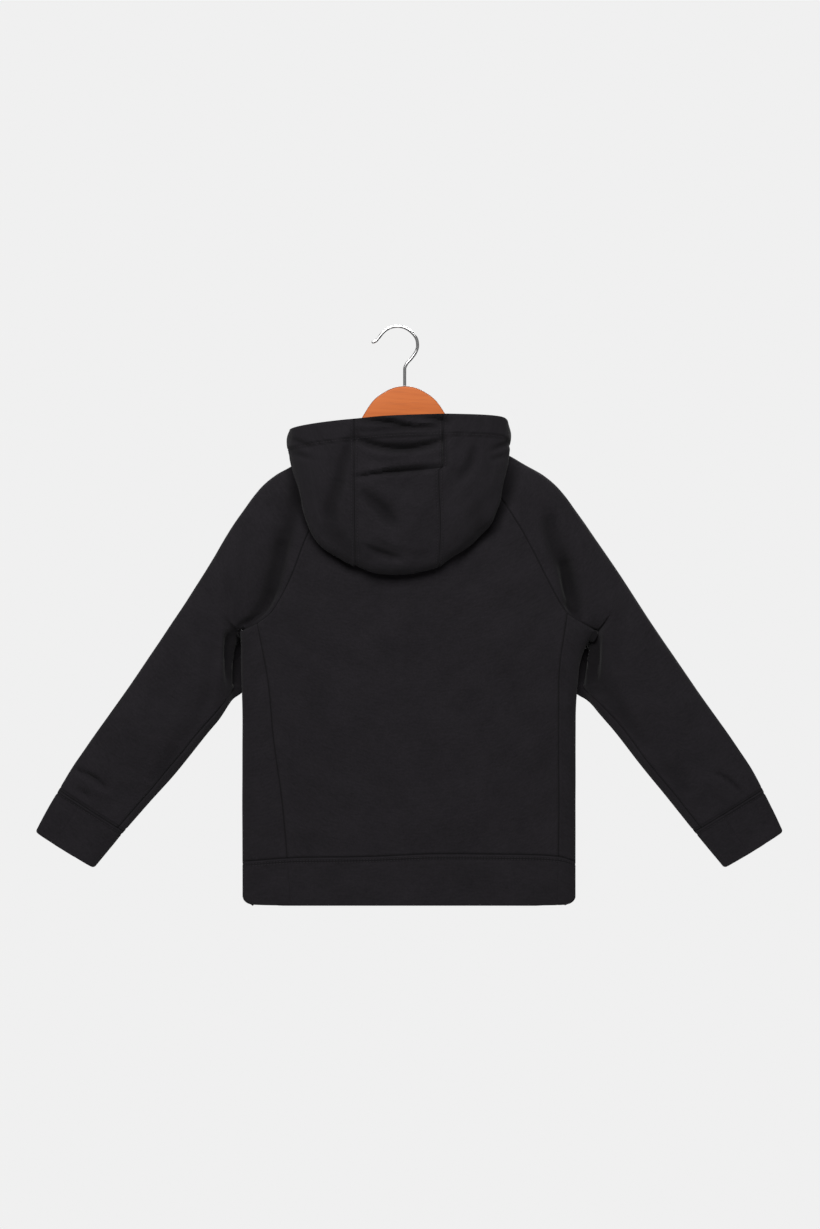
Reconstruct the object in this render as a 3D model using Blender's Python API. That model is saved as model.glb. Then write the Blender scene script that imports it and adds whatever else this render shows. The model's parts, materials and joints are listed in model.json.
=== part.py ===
"""A child's zip-up hooded sweatshirt in brushed fleece, hanging on a wooden hanger.

Lengths in the tables are millimetres. The origin is the inner top of the hanger's hook, where it
hangs. +Z is up, the garment's front faces -Y and its back +Y, and the wearer's left is +X.
`out` is a distance from the garment's centreline, `drop` a distance below the origin, and `turn`
how far the garment is turned round on its hanger there, which moves a seam of the back to -X.
"""

import math

import bpy
import numpy as np

MM = 0.001

# ---------------------------------------------------------------- driving dimensions

CENTRE_X = -13.8  # the garment's centreline, beside the hook
WALL = 2.2  # brushed fleece
DOUBLE_WALL = 3.0  # cuffs and hem band, of folded cloth
SEAM_GAP = 0.3
INNER_BEVEL = 0.3  # a seam's inner edges stand this much further apart
REST_GAP = 0.5  # between a piece and what it lies on

LEFT, RIGHT = 1, -1
BACK, FRONT = 1, -1

# Upper edge of the flat garment, from above the neck over the shoulder to the cuff's end.
TOP_EDGE = (  # out, drop
    (0.0, 131.0),
    (40.0, 132.0),
    (74.0, 136.0),
    (97.0, 143.0),
    (121.0, 154.0),
    (140.0, 165.0),
    (161.0, 177.0),
    (175.0, 188.5),
    (186.0, 201.0),
    (199.0, 219.0),
    (216.0, 243.0),
    (241.0, 279.0),
    (288.0, 351.0),
    (337.0, 423.0),
    (394.0, 504.0),
    (413.0, 533.0),
    (424.0, 554.0),
    (442.0, 590.6),
    (448.5, 605.0),
)
SHOULDER_POINT = (74.0, 136.0)  # the neck's side, on the upper edge
NECK_BACK_DROP = 157.0
NECK_FRONT_DROP = 205.0

# The body's side edge, from under the arm to the hem.
SIDE_EDGE = (  # drop, out, turn
    (364.0, 214.3, 10.7),
    (380.0, 207.6, 5.4),
    (400.0, 203.8, 1.6),
    (430.0, 201.5, 0.0),
    (470.0, 200.0, -0.6),
    (680.0, 200.0, -0.6),
    (684.0, 199.1, -0.6),
    (688.0, 196.4, -0.6),
    (691.0, 191.6, -0.6),
    (692.6, 185.5, -0.6),
)
UNDERARM_DROP = 364.0
HEM_DROP = 692.6
BAND_DROP = 635.0  # of the band's seam, near the side seams
BAND_SEAM = (  # x from the centreline, drop
    (-200.0, 640.5),
    (-178.0, 633.5),
    (-110.0, 631.0),
    (-40.0, 630.5),
    (52.0, 633.8),
    (146.0, 635.5),
    (201.0, 640.0),
)

# Half the garment's depth with the cloth, and how far in from an edge it takes to reach it.
DEPTH = (  # drop, half_depth
    (130.0, 17.0),
    (200.0, 18.5),
    (300.0, 19.5),
    (364.0, 19.0),
    (430.0, 18.0),
    (520.0, 16.5),
    (600.0, 14.5),
    (692.6, 12.5),
)
TOP_FOLD_REACH = 34.0
SIDE_FOLD_REACH = 34.0

# Raglan seams, from the neck to under the arm. They end at the side edge's first point.
RAGLAN_BACK = (  # drop, out, turn
    (254.0, 132.5, 8.0),
    (304.0, 155.0, 11.0),
    (330.0, 169.0, 11.0),
    (342.0, 177.0, 11.0),
    (353.0, 193.0, 12.5),
)
RAGLAN_FRONT = (
    (254.0, 105.0, 0.0),
    (304.0, 138.0, 0.0),
    (335.0, 164.0, 1.0),
    (352.0, 188.0, 6.0),
)
RAGLAN_BACK_NECK = 66.0  # degrees round the neck from the back's centre
RAGLAN_FRONT_NECK = 134.0
PANEL_CORNER = {  # drop of the side panel's upper corner
    (LEFT, BACK): 354.0,
    (RIGHT, BACK): 342.5,
    (LEFT, FRONT): 347.0,
    (RIGHT, FRONT): 347.0,
}
SIDE_SEAM_BACK = (  # drop, out, turn
    (425.0, 173.8, 4.8),
    (493.0, 170.5, 8.0),
    (562.0, 166.0, 13.0),
    (692.6, 159.5, 17.5),
)
SIDE_SEAM_FRONT = (
    (425.0, 175.0, -2.0),
    (493.0, 171.0, -8.0),
    (562.0, 166.0, -13.0),
    (692.6, 159.5, -17.5),
)

# Sleeve: where each ring crosses the lower and the upper edge, and how far the lower edge is
# tucked towards the front behind the body's side.
SLEEVE_RINGS = (  # under_out, under_drop, turn, top_out, half_depth, tuck
    (214.3, 364.0, 10.7, 262.0, 19.0, 0.0),
    (208.6, 381.0, 5.4, 273.0, 18.5, 15.0),
    (202.0, 406.0, 1.0, 288.0, 18.0, 18.0),
    (202.0, 434.0, -0.5, 305.0, 17.5, 17.0),
    (214.0, 447.0, 0.0, 320.0, 17.0, 10.0),
    (238.0, 475.0, 0.0, 347.0, 16.5, 3.0),
    (284.0, 533.0, 0.0, 385.0, 15.0, 0.0),
    (315.0, 571.0, 0.0, 406.0, 13.5, 0.0),
    (341.6, 604.0, 0.0, 424.0, 12.5, 0.0),
)
TUCK_REACH = 26.0
CUFF_RINGS = (
    (341.6, 604.0, 0.0, 424.0, 12.5, 0.0),
    (348.0, 612.0, 0.0, 431.0, 11.0, 0.0),
    (377.0, 647.0, 0.0, 448.5, 10.0, 0.0),
)
SLEEVE_FOLD_REACH = 30.0
SLEEVE_SEAM_IN = 9.0  # the underarm seam lies this far in from the lower edge, on the back
CUFF_SEAM_ANGLE = {LEFT: 71.0, RIGHT: 101.0}  # degrees round from the upper edge, on the back

# Largest folds: soft troughs along a line on the back (face 1) or the front (face -1).
TROUGH_END = 0.4  # a trough's depth at its ends, as a share of its middle's
TROUGHS = (  # side, face, out_0, drop_0, out_1, drop_1, depth, half_width
    (LEFT, BACK, 142.0, 205.0, 166.0, 310.0, 5.0, 15.0),
    (LEFT, BACK, 166.0, 310.0, 190.0, 352.0, 5.0, 12.0),
    (RIGHT, BACK, 170.0, 225.0, 190.0, 290.0, 5.0, 14.0),
    (RIGHT, BACK, 190.0, 290.0, 200.0, 336.0, 5.0, 11.0),
    (LEFT, FRONT, 150.0, 215.0, 176.0, 325.0, 5.0, 15.0),
    (RIGHT, FRONT, 152.0, 230.0, 182.0, 330.0, 5.0, 14.0),
)

# Hood: across from the left front corner, round the back, to the right front corner. Each row
# gives the place on the neck seam, where the cloth folds upwards, and the face opening's rim.
HOOD_STATIONS = (  # neck_degrees, fold_x, fold_drop, rim_x, rim_y, rim_drop
    (179.0, -5.0, 199.0, -6.0, -27.0, 187.0),
    (150.0, 40.0, 203.0, 30.0, -37.0, 170.0),
    (120.0, 92.0, 196.0, 86.0, -34.0, 146.0),
    (100.0, 122.0, 182.0, 120.0, -14.0, 128.0),
    (90.0, 127.0, 165.4, 130.0, 6.0, 122.6),
    (77.0, 122.0, 190.0, 127.0, 26.0, 120.5),
    (66.0, 114.0, 224.0, 114.0, 38.0, 117.0),
    (54.0, 97.0, 259.0, 93.0, 45.0, 113.5),
    (43.0, 74.0, 276.5, 71.0, 48.0, 111.5),
    (33.0, 50.0, 288.0, 52.0, 50.0, 110.5),
    (16.0, 25.0, 296.0, 25.0, 52.0, 109.0),
    (0.0, -4.0, 297.0, -1.0, 53.0, 107.5),
    (-16.0, -30.0, 293.0, -28.0, 52.0, 106.5),
    (-33.0, -53.0, 286.0, -54.0, 50.0, 105.8),
    (-43.0, -76.0, 272.0, -75.0, 48.0, 106.0),
    (-54.0, -100.0, 252.5, -97.0, 45.0, 106.5),
    (-66.0, -121.0, 219.0, -117.0, 38.0, 107.5),
    (-77.0, -130.0, 184.0, -130.0, 26.0, 110.0),
    (-90.0, -132.0, 152.6, -133.0, 6.0, 117.0),
    (-100.0, -128.0, 170.0, -126.0, -14.0, 124.0),
    (-120.0, -108.0, 192.0, -98.0, -34.0, 143.0),
    (-150.0, -62.0, 203.0, -54.0, -37.0, 169.0),
    (-179.0, -22.6, 199.0, -21.6, -27.0, 187.0),
)
HOOD_STRIP_STATIONS = (9, 13)  # the centre strip's seams
HOOD_STAND = (6.0, 2.0)  # how far it rises from the neck seam: at the back, at the front
HOOD_CLEAR = (1.7, 2.6)  # its lower layer above the cloth: on the back, on the shoulders
HOOD_LIFT = 3.4  # the front's least height over the shoulder, wall included
HOOD_ROLL = 1.7  # radius of the turn above the neck seam
HOOD_TURN_DEGREES = 12.0  # round the neck, over which it turns from the back to the front
HOOD_PATH_SHARES = (0.22, 0.48, 0.74, 1.0)  # of the way from the neck seam down to the lower fold
HOOD_FOLD = (8.0, 4.0)  # radius of the lower fold
HOOD_FULLNESS = (26.0, 6.0)  # how far the fold swells outwards: at the back, at the sides
FULLNESS_DEGREES = (45.0, 45.0)  # where round the neck it starts to shrink, and over what angle
RIM_PULL = 0.45  # how far the outer layer runs straight down from its rim, as a share of its height
PLAIN_DEGREES = (92.0, 60.0)  # where the hood's front starts to be a plain rising layer, over what angle
PLAIN_RISE, PLAIN_LEAN = (0.4, 4.0), (0.3, 5.0)  # of that layer: shares of its height, and mm outwards

# Zip, closed up to the neck
ZIP_HALF_OPEN = 3.6  # from the centreline to each front's edge
TEETH_HALF_WIDTH = 2.7
TEETH_THICKNESS = 2.4
TEETH_SUNK = 0.6  # the teeth's outside behind the cloth's outside
TAPE_IN, TAPE_OUT = 3.0, 12.0
TAPE_THICKNESS = 1.0
TEETH_TOP_IN = 4.5  # the teeth start this far down inside the slider
TAPE_END_IN = 0.5  # the tapes end this far inside the cloth's ends
ZIP_TO_BAND = (590.0, 620.0)  # drops over which the tapes move back behind the band's double cloth
SLIDER_TOP_DROP = 208.0
SLIDER_LENGTH = 12.0
SLIDER_WIDTH = 9.0
SLIDER_PLATE = 1.4
SLIDER_BACK = 1.0  # thickness of its plate behind the teeth
SLIDER_NECK_LENGTH = 4.2
SLIDER_NECK_IN = 0.2  # the neck is this much narrower than the teeth, on each side
LUG_IN, LUG_OUT, LUG_HALF_HEIGHT = 2.0, 3.0, 1.4
JOIN_DEPTH = 0.5  # how far joined blocks run into each other
PIN_RADIUS = 0.8
PIN_OUT = 2.6  # the pin's axis in front of the slider's plate
TAB_LENGTH = 24.0
TAB_WIDTH = 6.0
TAB_THICKNESS = 1.3
TAB_EYE_RADIUS = 2.0
TAB_EYE_HALF_LENGTH = 1.6
TAB_NECK_LENGTH = 8.0
TAB_HOLE_RADIUS = 1.15

# Hanger
HANGER_X = -8.0
HANGER_HALF_THICKNESS = 5.0
HANGER_END_OUT = 162.0
HANGER_END_ROUND = 9.0
HANGER_LEAST_STRAIGHT = 0.2  # of an arm's side, between its rounded edges
HANGER_END_LEAST = (0.35, 0.3)  # the rounded ends' least height and thickness, as shares
HANGER_JOIN = (52.0, 66.0)  # from its middle, where the head's edge runs into the arms'
HANGER_HEAD = (  # from the hanger's middle, drop
    (0.0, 69.8),
    (12.0, 71.6),
    (24.0, 77.0),
    (39.0, 89.0),
    (51.0, 107.5),
    (60.0, 124.0),
    (76.0, 142.0),
)
HANGER_UNDERSIDE = (  # from the centreline, drop
    (0.0, 168.0),
    (60.0, 171.0),
    (110.0, 182.0),
    (150.0, 198.0),
    (162.0, 204.0),
)
HOOK_WIRE_RADIUS = 1.85
HOOK_LINE = (  # x, drop of the wire's middle, from the wood to the tip
    (-8.0, 69.4),
    (-8.0, 49.4),
    (-10.2, 43.5),
    (-16.2, 36.5),
    (-21.4, 29.0),
    (-23.5, 21.5),
    (-22.3, 13.5),
    (-17.4, 6.2),
    (-9.6, 0.5),
    (0.0, -1.85),
    (9.6, -0.2),
    (17.4, 5.0),
    (23.2, 12.0),
    (27.4, 16.3),
    (31.8, 17.6),
)

# Mesh sizes
RAGLAN_ROWS = 8
UNDERARM_ROWS = 3
SIDE_ROWS = 9
BAND_ROWS = np.array([0.0, 0.45, 0.78, 0.93, 1.0])  # shares of the band's height
BACK_COLUMNS = 12
FRONT_COLUMNS = 7
FOLD_COLUMNS = 5  # from a side seam to the side edge
SLEEVE_COLUMNS = 18
NECK_CURVE_ROWS = 4  # the sleeve's rows that still curve with the neck
CLOSE_FROM = 0.6  # from this share of the raglan seam the rows reach on round the underarm
SLEEVE_RING_ROWS = 16
CUFF_ROWS = 3
# Places of a hood side's columns between its stations, close together over the shoulder.
HOOD_SIDE_COLUMNS = (0.0, 0.8, 1.6, 2.3, 2.8, 3.1, 3.4, 3.7, 4.0, 4.3, 4.6, 4.9, 5.4, 6.2, 7.1, 8.0, 9.0)
HOOD_STRIP_COLUMNS = 6
ZIP_ROWS = 12
HANGER_SECTIONS = 31


# ---------------------------------------------------------------- curves

def spread(knots, count):
    """`count` points at even distances on a smooth curve through the knots."""
    knots = np.array(knots, float)
    chord = np.concatenate([[0.0], np.cumsum(np.linalg.norm(np.diff(knots, axis=0), axis=1))])
    fine = np.linspace(0.0, chord[-1], 40 * len(knots))
    path = np.stack([smooth(fine, chord, column) for column in knots.T], axis=1)
    length = np.concatenate([[0.0], np.cumsum(np.linalg.norm(np.diff(path, axis=0), axis=1))])
    even = np.linspace(0.0, length[-1], count)
    return np.stack([np.interp(even, length, column) for column in path.T], axis=1)


def smooth(where, places, values):
    """A smooth curve through the values at these places, which never overshoots them."""
    places, values = np.asarray(places, float), np.asarray(values, float)
    step, rise = np.diff(places), np.diff(values)
    slope = rise / step
    tangent = np.empty(len(values))
    tangent[0], tangent[-1] = slope[0], slope[-1]
    for i in range(1, len(values) - 1):
        same_way = slope[i - 1] * slope[i] > 0
        weight = step[i - 1] + step[i]
        tangent[i] = (slope[i - 1] * step[i] + slope[i] * step[i - 1]) / weight if same_way else 0.0
        tangent[i] = np.clip(tangent[i], -3 * abs(slope[i - 1]), 3 * abs(slope[i - 1]))
        tangent[i] = np.clip(tangent[i], -3 * abs(slope[i]), 3 * abs(slope[i]))
    where = np.clip(where, places[0], places[-1])
    i = np.clip(np.searchsorted(places, where, side="right") - 1, 0, len(step) - 1)
    t = (where - places[i]) / step[i]
    return (
        values[i] * (1 + 2 * t) * (1 - t) ** 2
        + values[i + 1] * t**2 * (3 - 2 * t)
        + tangent[i] * step[i] * t * (1 - t) ** 2
        - tangent[i + 1] * step[i] * t**2 * (1 - t)
    )


def read(table, place, column):
    """A column of a table, read smoothly where its first column holds `place`."""
    table = np.array(table, float)
    return smooth(place, table[:, 0], table[:, column])


def ease(t):
    t = np.clip(t, 0.0, 1.0)
    return t * t * (3 - 2 * t)


def fold(share):
    """Depth of a folded edge, from 0 on the edge to 1 at its full reach."""
    return np.sqrt(np.clip(1 - (1 - np.clip(share, 0.0, 1.0)) ** 2, 0.0, 1.0))


def gap_to_line(points, start, end):
    """Distance of points from a line's nearest point, and how far along it that is, 0 to 1."""
    start, end = np.asarray(start, float), np.asarray(end, float)
    along = np.clip((points - start) @ (end - start) / np.sum((end - start) ** 2), 0.0, 1.0)
    nearest = start + along[..., None] * (end - start)
    return np.linalg.norm(points - nearest, axis=-1), along


# ---------------------------------------------------------------- the flat garment

TOP_LINE = spread(TOP_EDGE, 160)


def side_edge(side, drop):
    return read(SIDE_EDGE, drop, 1) - side * read(SIDE_EDGE, drop, 2)


def from_top_edge(out, drop):
    points = np.stack([np.abs(out), drop], axis=-1)
    gaps = np.linalg.norm(points[..., None, :] - TOP_LINE, axis=-1)
    return gaps.min(axis=-1)


def from_side_edge(x, drop):
    """Distance from the body's side edge, or from its upper end for a place above the underarm."""
    side = np.where(x >= 0, LEFT, RIGHT)
    out = np.abs(x)
    level = side_edge(side, np.maximum(drop, UNDERARM_DROP)) - out
    end_out = side_edge(side, np.full_like(out, UNDERARM_DROP))
    above = np.hypot(end_out - out, UNDERARM_DROP - drop)
    return np.where(drop < UNDERARM_DROP, above, level)


def trough_depth(x, drop, face):
    total = np.zeros(np.shape(x))
    for side, trough_face, out_0, drop_0, out_1, drop_1, depth, half_width in TROUGHS:
        if trough_face != face:
            continue
        points = np.stack([side * np.asarray(x, float), np.asarray(drop, float)], axis=-1)
        gap, along = gap_to_line(points, (out_0, drop_0), (out_1, drop_1))
        strength = TROUGH_END + (1 - TROUGH_END) * np.sin(math.pi * along)
        total += depth * np.exp(-((gap / half_width) ** 2)) * strength
    return total


def half_depth(x, drop, face):
    """How far the cloth's outside lies from the mid-plane, anywhere on the body and shoulders."""
    depth = read(DEPTH, drop, 1)
    shape = fold(from_top_edge(x, drop) / TOP_FOLD_REACH) * fold(from_side_edge(x, drop) / SIDE_FOLD_REACH)
    return (depth - trough_depth(x, drop, face)) * shape


def on_garment(plan, face):
    """3D points on the outside of the back or front, from (x from the centreline, drop)."""
    x, drop = plan[..., 0], plan[..., 1]
    return np.stack([CENTRE_X + x, face * half_depth(x, drop, face), -drop], axis=-1)


def neck_plan(side, degrees):
    """The neck seam, from the back's centre (0 degrees) over the shoulder (90) to the front (180)."""
    angle = np.radians(degrees)
    low = np.where(np.cos(angle) >= 0, NECK_BACK_DROP, NECK_FRONT_DROP) - SHOULDER_POINT[1]
    x = side * SHOULDER_POINT[0] * np.sin(angle)
    return np.stack([x, SHOULDER_POINT[1] + low * np.abs(np.cos(angle))], axis=-1)


def raglan_knots(side, face):
    degrees = RAGLAN_BACK_NECK if face == BACK else RAGLAN_FRONT_NECK
    rows = RAGLAN_BACK if face == BACK else RAGLAN_FRONT
    knots = [neck_plan(side, np.array(degrees))]
    knots += [(side * (out - side * turn), drop) for drop, out, turn in rows]
    knots.append((side * side_edge(side, UNDERARM_DROP), UNDERARM_DROP))
    return knots


def raglan_seam(side, face):
    """The seam from the neck to the side panel's corner, and from there to under the arm."""
    line = spread(raglan_knots(side, face), 400)
    corner = int(np.searchsorted(line[:, 1], PANEL_CORNER[side, face]))
    upper = line[np.linspace(0, corner, RAGLAN_ROWS + 1).astype(int)]
    lower = line[np.linspace(corner, 399, UNDERARM_ROWS + 1).astype(int)]
    return upper, lower


def side_seam(side, face, start, rows_to):
    """The side panel's seam, read at the given drops."""
    table = SIDE_SEAM_BACK if face == BACK else SIDE_SEAM_FRONT
    knots = [(start[1], side * start[0])]
    knots += [(drop, out - side * turn) for drop, out, turn in table]
    return np.stack([side * read(knots, rows_to, 1), rows_to], axis=-1)


def band_seam_drop(x):
    return read(BAND_SEAM, x, 1)


def coons(top, bottom, left, right, shares=None):
    """A grid in plan that fills the space between four edges, with columns at these shares."""
    u = np.linspace(0, 1, len(top)) if shares is None else shares
    u, v = u[None, :, None], np.linspace(0, 1, len(left))[:, None, None]
    corners = (1 - v) * ((1 - u) * top[0] + u * top[-1]) + v * ((1 - u) * bottom[0] + u * bottom[-1])
    return (1 - v) * top[None] + v * bottom[None] + (1 - u) * left[:, None] + u * right[:, None] - corners


# ---------------------------------------------------------------- solids

def clear_scene():
    for item in list(bpy.data.objects):
        bpy.data.objects.remove(item, do_unlink=True)


def make_material(name, colour, roughness, metallic=0.0):
    material = bpy.data.materials.new(name)
    material.use_nodes = True
    shader = material.node_tree.nodes["Principled BSDF"]
    shader.inputs["Base Color"].default_value = (*colour, 1.0)
    shader.inputs["Roughness"].default_value = roughness
    shader.inputs["Metallic"].default_value = metallic
    return material


def unit(ways):
    """The same directions, all one long."""
    return ways / np.maximum(np.linalg.norm(ways, axis=-1, keepdims=True), 1e-9)


def grid_normals(grid):
    down = np.gradient(grid, axis=0)
    across = np.gradient(grid, axis=1)
    return unit(np.cross(down, across))


def pull_in(grid, amount):
    """Moves a grid's edges in by the amount, which leaves the gap at a seam."""
    grid = grid.copy()
    edges = np.s_[0, :], np.s_[-1, :], np.s_[:, 0], np.s_[:, -1]
    beside = np.s_[1, :], np.s_[-2, :], np.s_[:, 1], np.s_[:, -2]
    for edge, inner in zip(edges, beside):
        way = grid[inner] - grid[edge]
        grid[edge] += amount * unit(way)
    return grid


def wall_between(outer, inner):
    """Vertices and faces of the closed wall between an outer and an inner grid."""
    rows, columns = outer.shape[:2]
    vertices = np.concatenate([outer.reshape(-1, 3), inner.reshape(-1, 3)])
    outside = np.arange(rows * columns).reshape(rows, columns)
    inside = outside + rows * columns
    faces = []
    for i in range(rows - 1):
        for j in range(columns - 1):
            a, b, c, d = outside[i, j], outside[i + 1, j], outside[i + 1, j + 1], outside[i, j + 1]
            faces.append((a, b, c, d))
            a, b, c, d = inside[i, j], inside[i + 1, j], inside[i + 1, j + 1], inside[i, j + 1]
            faces.append((d, c, b, a))
    rim = [*outside[0, :-1], *outside[:-1, -1], *outside[-1, :0:-1], *outside[:0:-1, 0]]
    for here, there in zip(rim, rim[1:] + rim[:1]):
        faces.append((here, there, there + rows * columns, here + rows * columns))
    return vertices, faces


def add_solid(name, vertices, faces, material, sharp_degrees=40.0):
    mesh = bpy.data.meshes.new(name)
    mesh.from_pydata([tuple(point * MM) for point in np.asarray(vertices, float)], [], faces)
    mesh.materials.append(material)
    mesh.shade_smooth()
    mesh.set_sharp_from_angle(angle=math.radians(sharp_degrees))
    solid = bpy.data.objects.new(name, mesh)
    bpy.context.scene.collection.objects.link(solid)
    return solid


def add_panel(name, grid, material, wall=WALL):
    """A cloth panel: `grid` is its outside, rows down and columns so that the faces look out."""
    outer = pull_in(grid, SEAM_GAP / 2)
    inner = pull_in(outer - wall * grid_normals(grid), INNER_BEVEL)
    return add_solid(name, *wall_between(outer, inner), material)


# ---------------------------------------------------------------- body panels

def body_edge_rows(side, face):
    """Plan points down a side seam, from the raglan corner to the band seam."""
    corner = raglan_seam(side, face)[0][-1]
    trial = side_seam(side, face, corner, np.array([BAND_DROP]))[0]
    drops = np.linspace(corner[1], band_seam_drop(trial[0]), SIDE_ROWS + 1)
    return side_seam(side, face, corner, drops)


def body_border(side, face):
    """The back's or a front's outer border: down the raglan seam, then down the side seam."""
    return np.concatenate([raglan_seam(side, face)[0], body_edge_rows(side, face)[1:]])


def band_line(x_0, x_1, columns):
    x = np.linspace(x_0, x_1, columns + 1)
    return np.stack([x, band_seam_drop(x)], axis=-1)


def back_plan():
    left, right = body_border(LEFT, BACK), body_border(RIGHT, BACK)
    degrees = np.linspace(RAGLAN_BACK_NECK, -RAGLAN_BACK_NECK, BACK_COLUMNS + 1)
    top = np.array([neck_plan(LEFT if angle >= 0 else RIGHT, abs(angle)) for angle in degrees])
    return coons(top, band_line(left[-1][0], right[-1][0], BACK_COLUMNS), left, right)


def front_plan(side):
    outer = body_border(side, FRONT)
    degrees = np.linspace(RAGLAN_FRONT_NECK, 180.0, FRONT_COLUMNS + 1)
    top = neck_plan(side, degrees)
    corner = abs(top[0, 0])
    top[:, 0] = side * (ZIP_HALF_OPEN + np.abs(top[:, 0]) * (corner - ZIP_HALF_OPEN) / corner)
    inner_drop = np.linspace(top[-1, 1], band_seam_drop(side * ZIP_HALF_OPEN), len(outer))
    inner = np.stack([np.full(len(outer), side * ZIP_HALF_OPEN), inner_drop], axis=-1)
    bottom = band_line(outer[-1][0], side * ZIP_HALF_OPEN, FRONT_COLUMNS)
    return coons(top, bottom, outer, inner)


def side_grid(side):
    """The side panel, from its seam on the back round the side edge to its seam on the front."""
    halves = []
    for face in (BACK, FRONT):
        lower = spread(raglan_seam(side, face)[1], FOLD_COLUMNS + 1)
        seam = body_edge_rows(side, face)
        share = np.cos(np.linspace(math.pi / 2, 0, FOLD_COLUMNS + 1))
        even = np.linspace(0, 1, FOLD_COLUMNS + 1)
        top = np.stack([np.interp(share, even, column) for column in lower.T], axis=-1)
        edge_bottom = band_seam_drop(side * side_edge(side, BAND_DROP))
        edge_drop = np.linspace(UNDERARM_DROP, edge_bottom, SIDE_ROWS + 1)
        edge = np.stack([side * side_edge(side, edge_drop), edge_drop], axis=-1)
        x = seam[-1, 0] + (edge[-1, 0] - seam[-1, 0]) * share
        bottom = np.stack([x, band_seam_drop(x)], axis=-1)
        plan = coons(top, bottom, seam, edge, share)
        halves.append(on_garment(plan, face))
    back, front = halves
    return np.concatenate([back, front[:, -2::-1]], axis=1)


def add_body(cloth):
    add_panel("back", on_garment(back_plan(), BACK), cloth)
    for side, word in ((LEFT, "left"), (RIGHT, "right")):
        front = on_garment(front_plan(side), FRONT)
        add_panel(f"front_{word}", front if side == RIGHT else front[:, ::-1], cloth)
        panel = side_grid(side)
        add_panel(f"side_{word}", panel if side == RIGHT else panel[:, ::-1], cloth)


# ---------------------------------------------------------------- sleeves and cuffs

def top_point(out):
    return np.array([out, np.interp(out, TOP_LINE[:, 0], TOP_LINE[:, 1])])


def ring_points(side, row, turns):
    """Points round a sleeve or cuff ring at angles from the upper edge, positive on the back."""
    under_out, under_drop, turn, top_out, depth, tuck = row
    under = np.array([under_out - side * turn, under_drop])
    top = top_point(top_out)
    width = np.linalg.norm(under - top)
    share = (1 - np.cos(turns)) / 2
    plan = top + share[:, None] * (under - top)
    middle = -tuck * (1 - ease((1 - share) * width / TUCK_REACH))
    half = depth * fold(share * width / SLEEVE_FOLD_REACH) * fold((1 - share) * width / SLEEVE_FOLD_REACH)
    y = middle + np.sign(np.sin(turns)) * half
    return np.stack([CENTRE_X + side * plan[:, 0], y, -plan[:, 1]], axis=-1)


def ring_table(rows, count):
    """`count` rings spread evenly through a table of rings."""
    rows = np.array(rows, float)
    step = np.linalg.norm(np.diff(rows[:, [0, 1, 3]], axis=0), axis=1)
    place = np.concatenate([[0.0], np.cumsum(step)])
    where = np.linspace(0, place[-1], count)
    return np.stack([smooth(where, place, column) for column in rows.T], axis=1)


def sleeve_seam_angle(width):
    return math.acos(1 - 2 * (1 - SLEEVE_SEAM_IN / width))


def raglan_row(side, seam_points, top_out, shares, neck_share):
    """A row of the sleeve's upper part, from the back's seam over the upper edge to the front's."""
    top = top_point(top_out) * (side, 1)
    row = []
    for face, end, share in zip((BACK, FRONT), seam_points, shares):
        neck_end = RAGLAN_BACK_NECK if face == BACK else RAGLAN_FRONT_NECK
        neck = neck_plan(side, 90.0 + share * (neck_end - 90.0))
        shoulder, corner = neck_plan(side, np.array([90.0, neck_end]))
        bow = neck - shoulder - share[:, None] * (corner - shoulder)
        plan = top + share[:, None] * (end - top) + neck_share * bow
        row.append(on_garment(plan, face))
    return np.concatenate(row)


def sleeve_grid(side):
    back_upper, back_lower = raglan_seam(side, BACK)
    front_upper, front_lower = raglan_seam(side, FRONT)
    back_seam = np.concatenate([back_upper, back_lower[1:]])
    front_seam = np.concatenate([front_upper, front_lower[1:]])
    count = len(back_seam)
    half = SLEEVE_COLUMNS // 2
    top_outs = np.linspace(SHOULDER_POINT[0], SLEEVE_RINGS[0][3], count)
    rows = []
    for i in range(count):
        spread_end = ease((i / (count - 1) - CLOSE_FROM) / (1 - CLOSE_FROM))
        reach = math.pi / 2 * (1 + spread_end)
        turns = np.linspace(reach, 0, half + 1)
        share = (1 - np.cos(turns)) / (1 - math.cos(reach))
        neck_share = max(1.0 - i / NECK_CURVE_ROWS, 0.0)
        ends = (back_seam[i], front_seam[i])
        rows.append(raglan_row(side, ends, top_outs[i], (share, share[-2::-1]), neck_share))
    rings = ring_table(SLEEVE_RINGS, SLEEVE_RING_ROWS + 1)
    for i, ring in enumerate(rings[1:], start=1):
        width = np.linalg.norm(ring[:2] - top_point(ring[3]))
        behind = (math.pi - sleeve_seam_angle(width)) * ease(i / 3)
        turns = np.linspace(math.pi - behind, -math.pi - behind, SLEEVE_COLUMNS + 1)
        rows.append(ring_points(side, ring, turns))
    return np.array(rows)


def cuff_grid(side):
    start = math.radians(CUFF_SEAM_ANGLE[side])
    turns = np.linspace(start, start - 2 * math.pi, SLEEVE_COLUMNS + 1)
    return np.array([ring_points(side, ring, turns) for ring in ring_table(CUFF_RINGS, CUFF_ROWS + 1)])


def add_sleeves(cloth):
    for side, word in ((LEFT, "left"), (RIGHT, "right")):
        for name, grid, wall in (("sleeve", sleeve_grid(side), WALL), ("cuff", cuff_grid(side), DOUBLE_WALL)):
            add_panel(f"{name}_{word}", grid if side == RIGHT else grid[:, ::-1], cloth, wall)


# ---------------------------------------------------------------- hem band

def band_plan(x_top, x_bottom):
    """A piece of the band between upright seams: x of its columns at the top and at the hem."""
    share = BAND_ROWS[:, None]
    x = x_top + share * (x_bottom - x_top)
    drop = band_seam_drop(x_top) + share * (HEM_DROP - band_seam_drop(x_top))
    return np.stack([x, drop], axis=-1)


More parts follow.
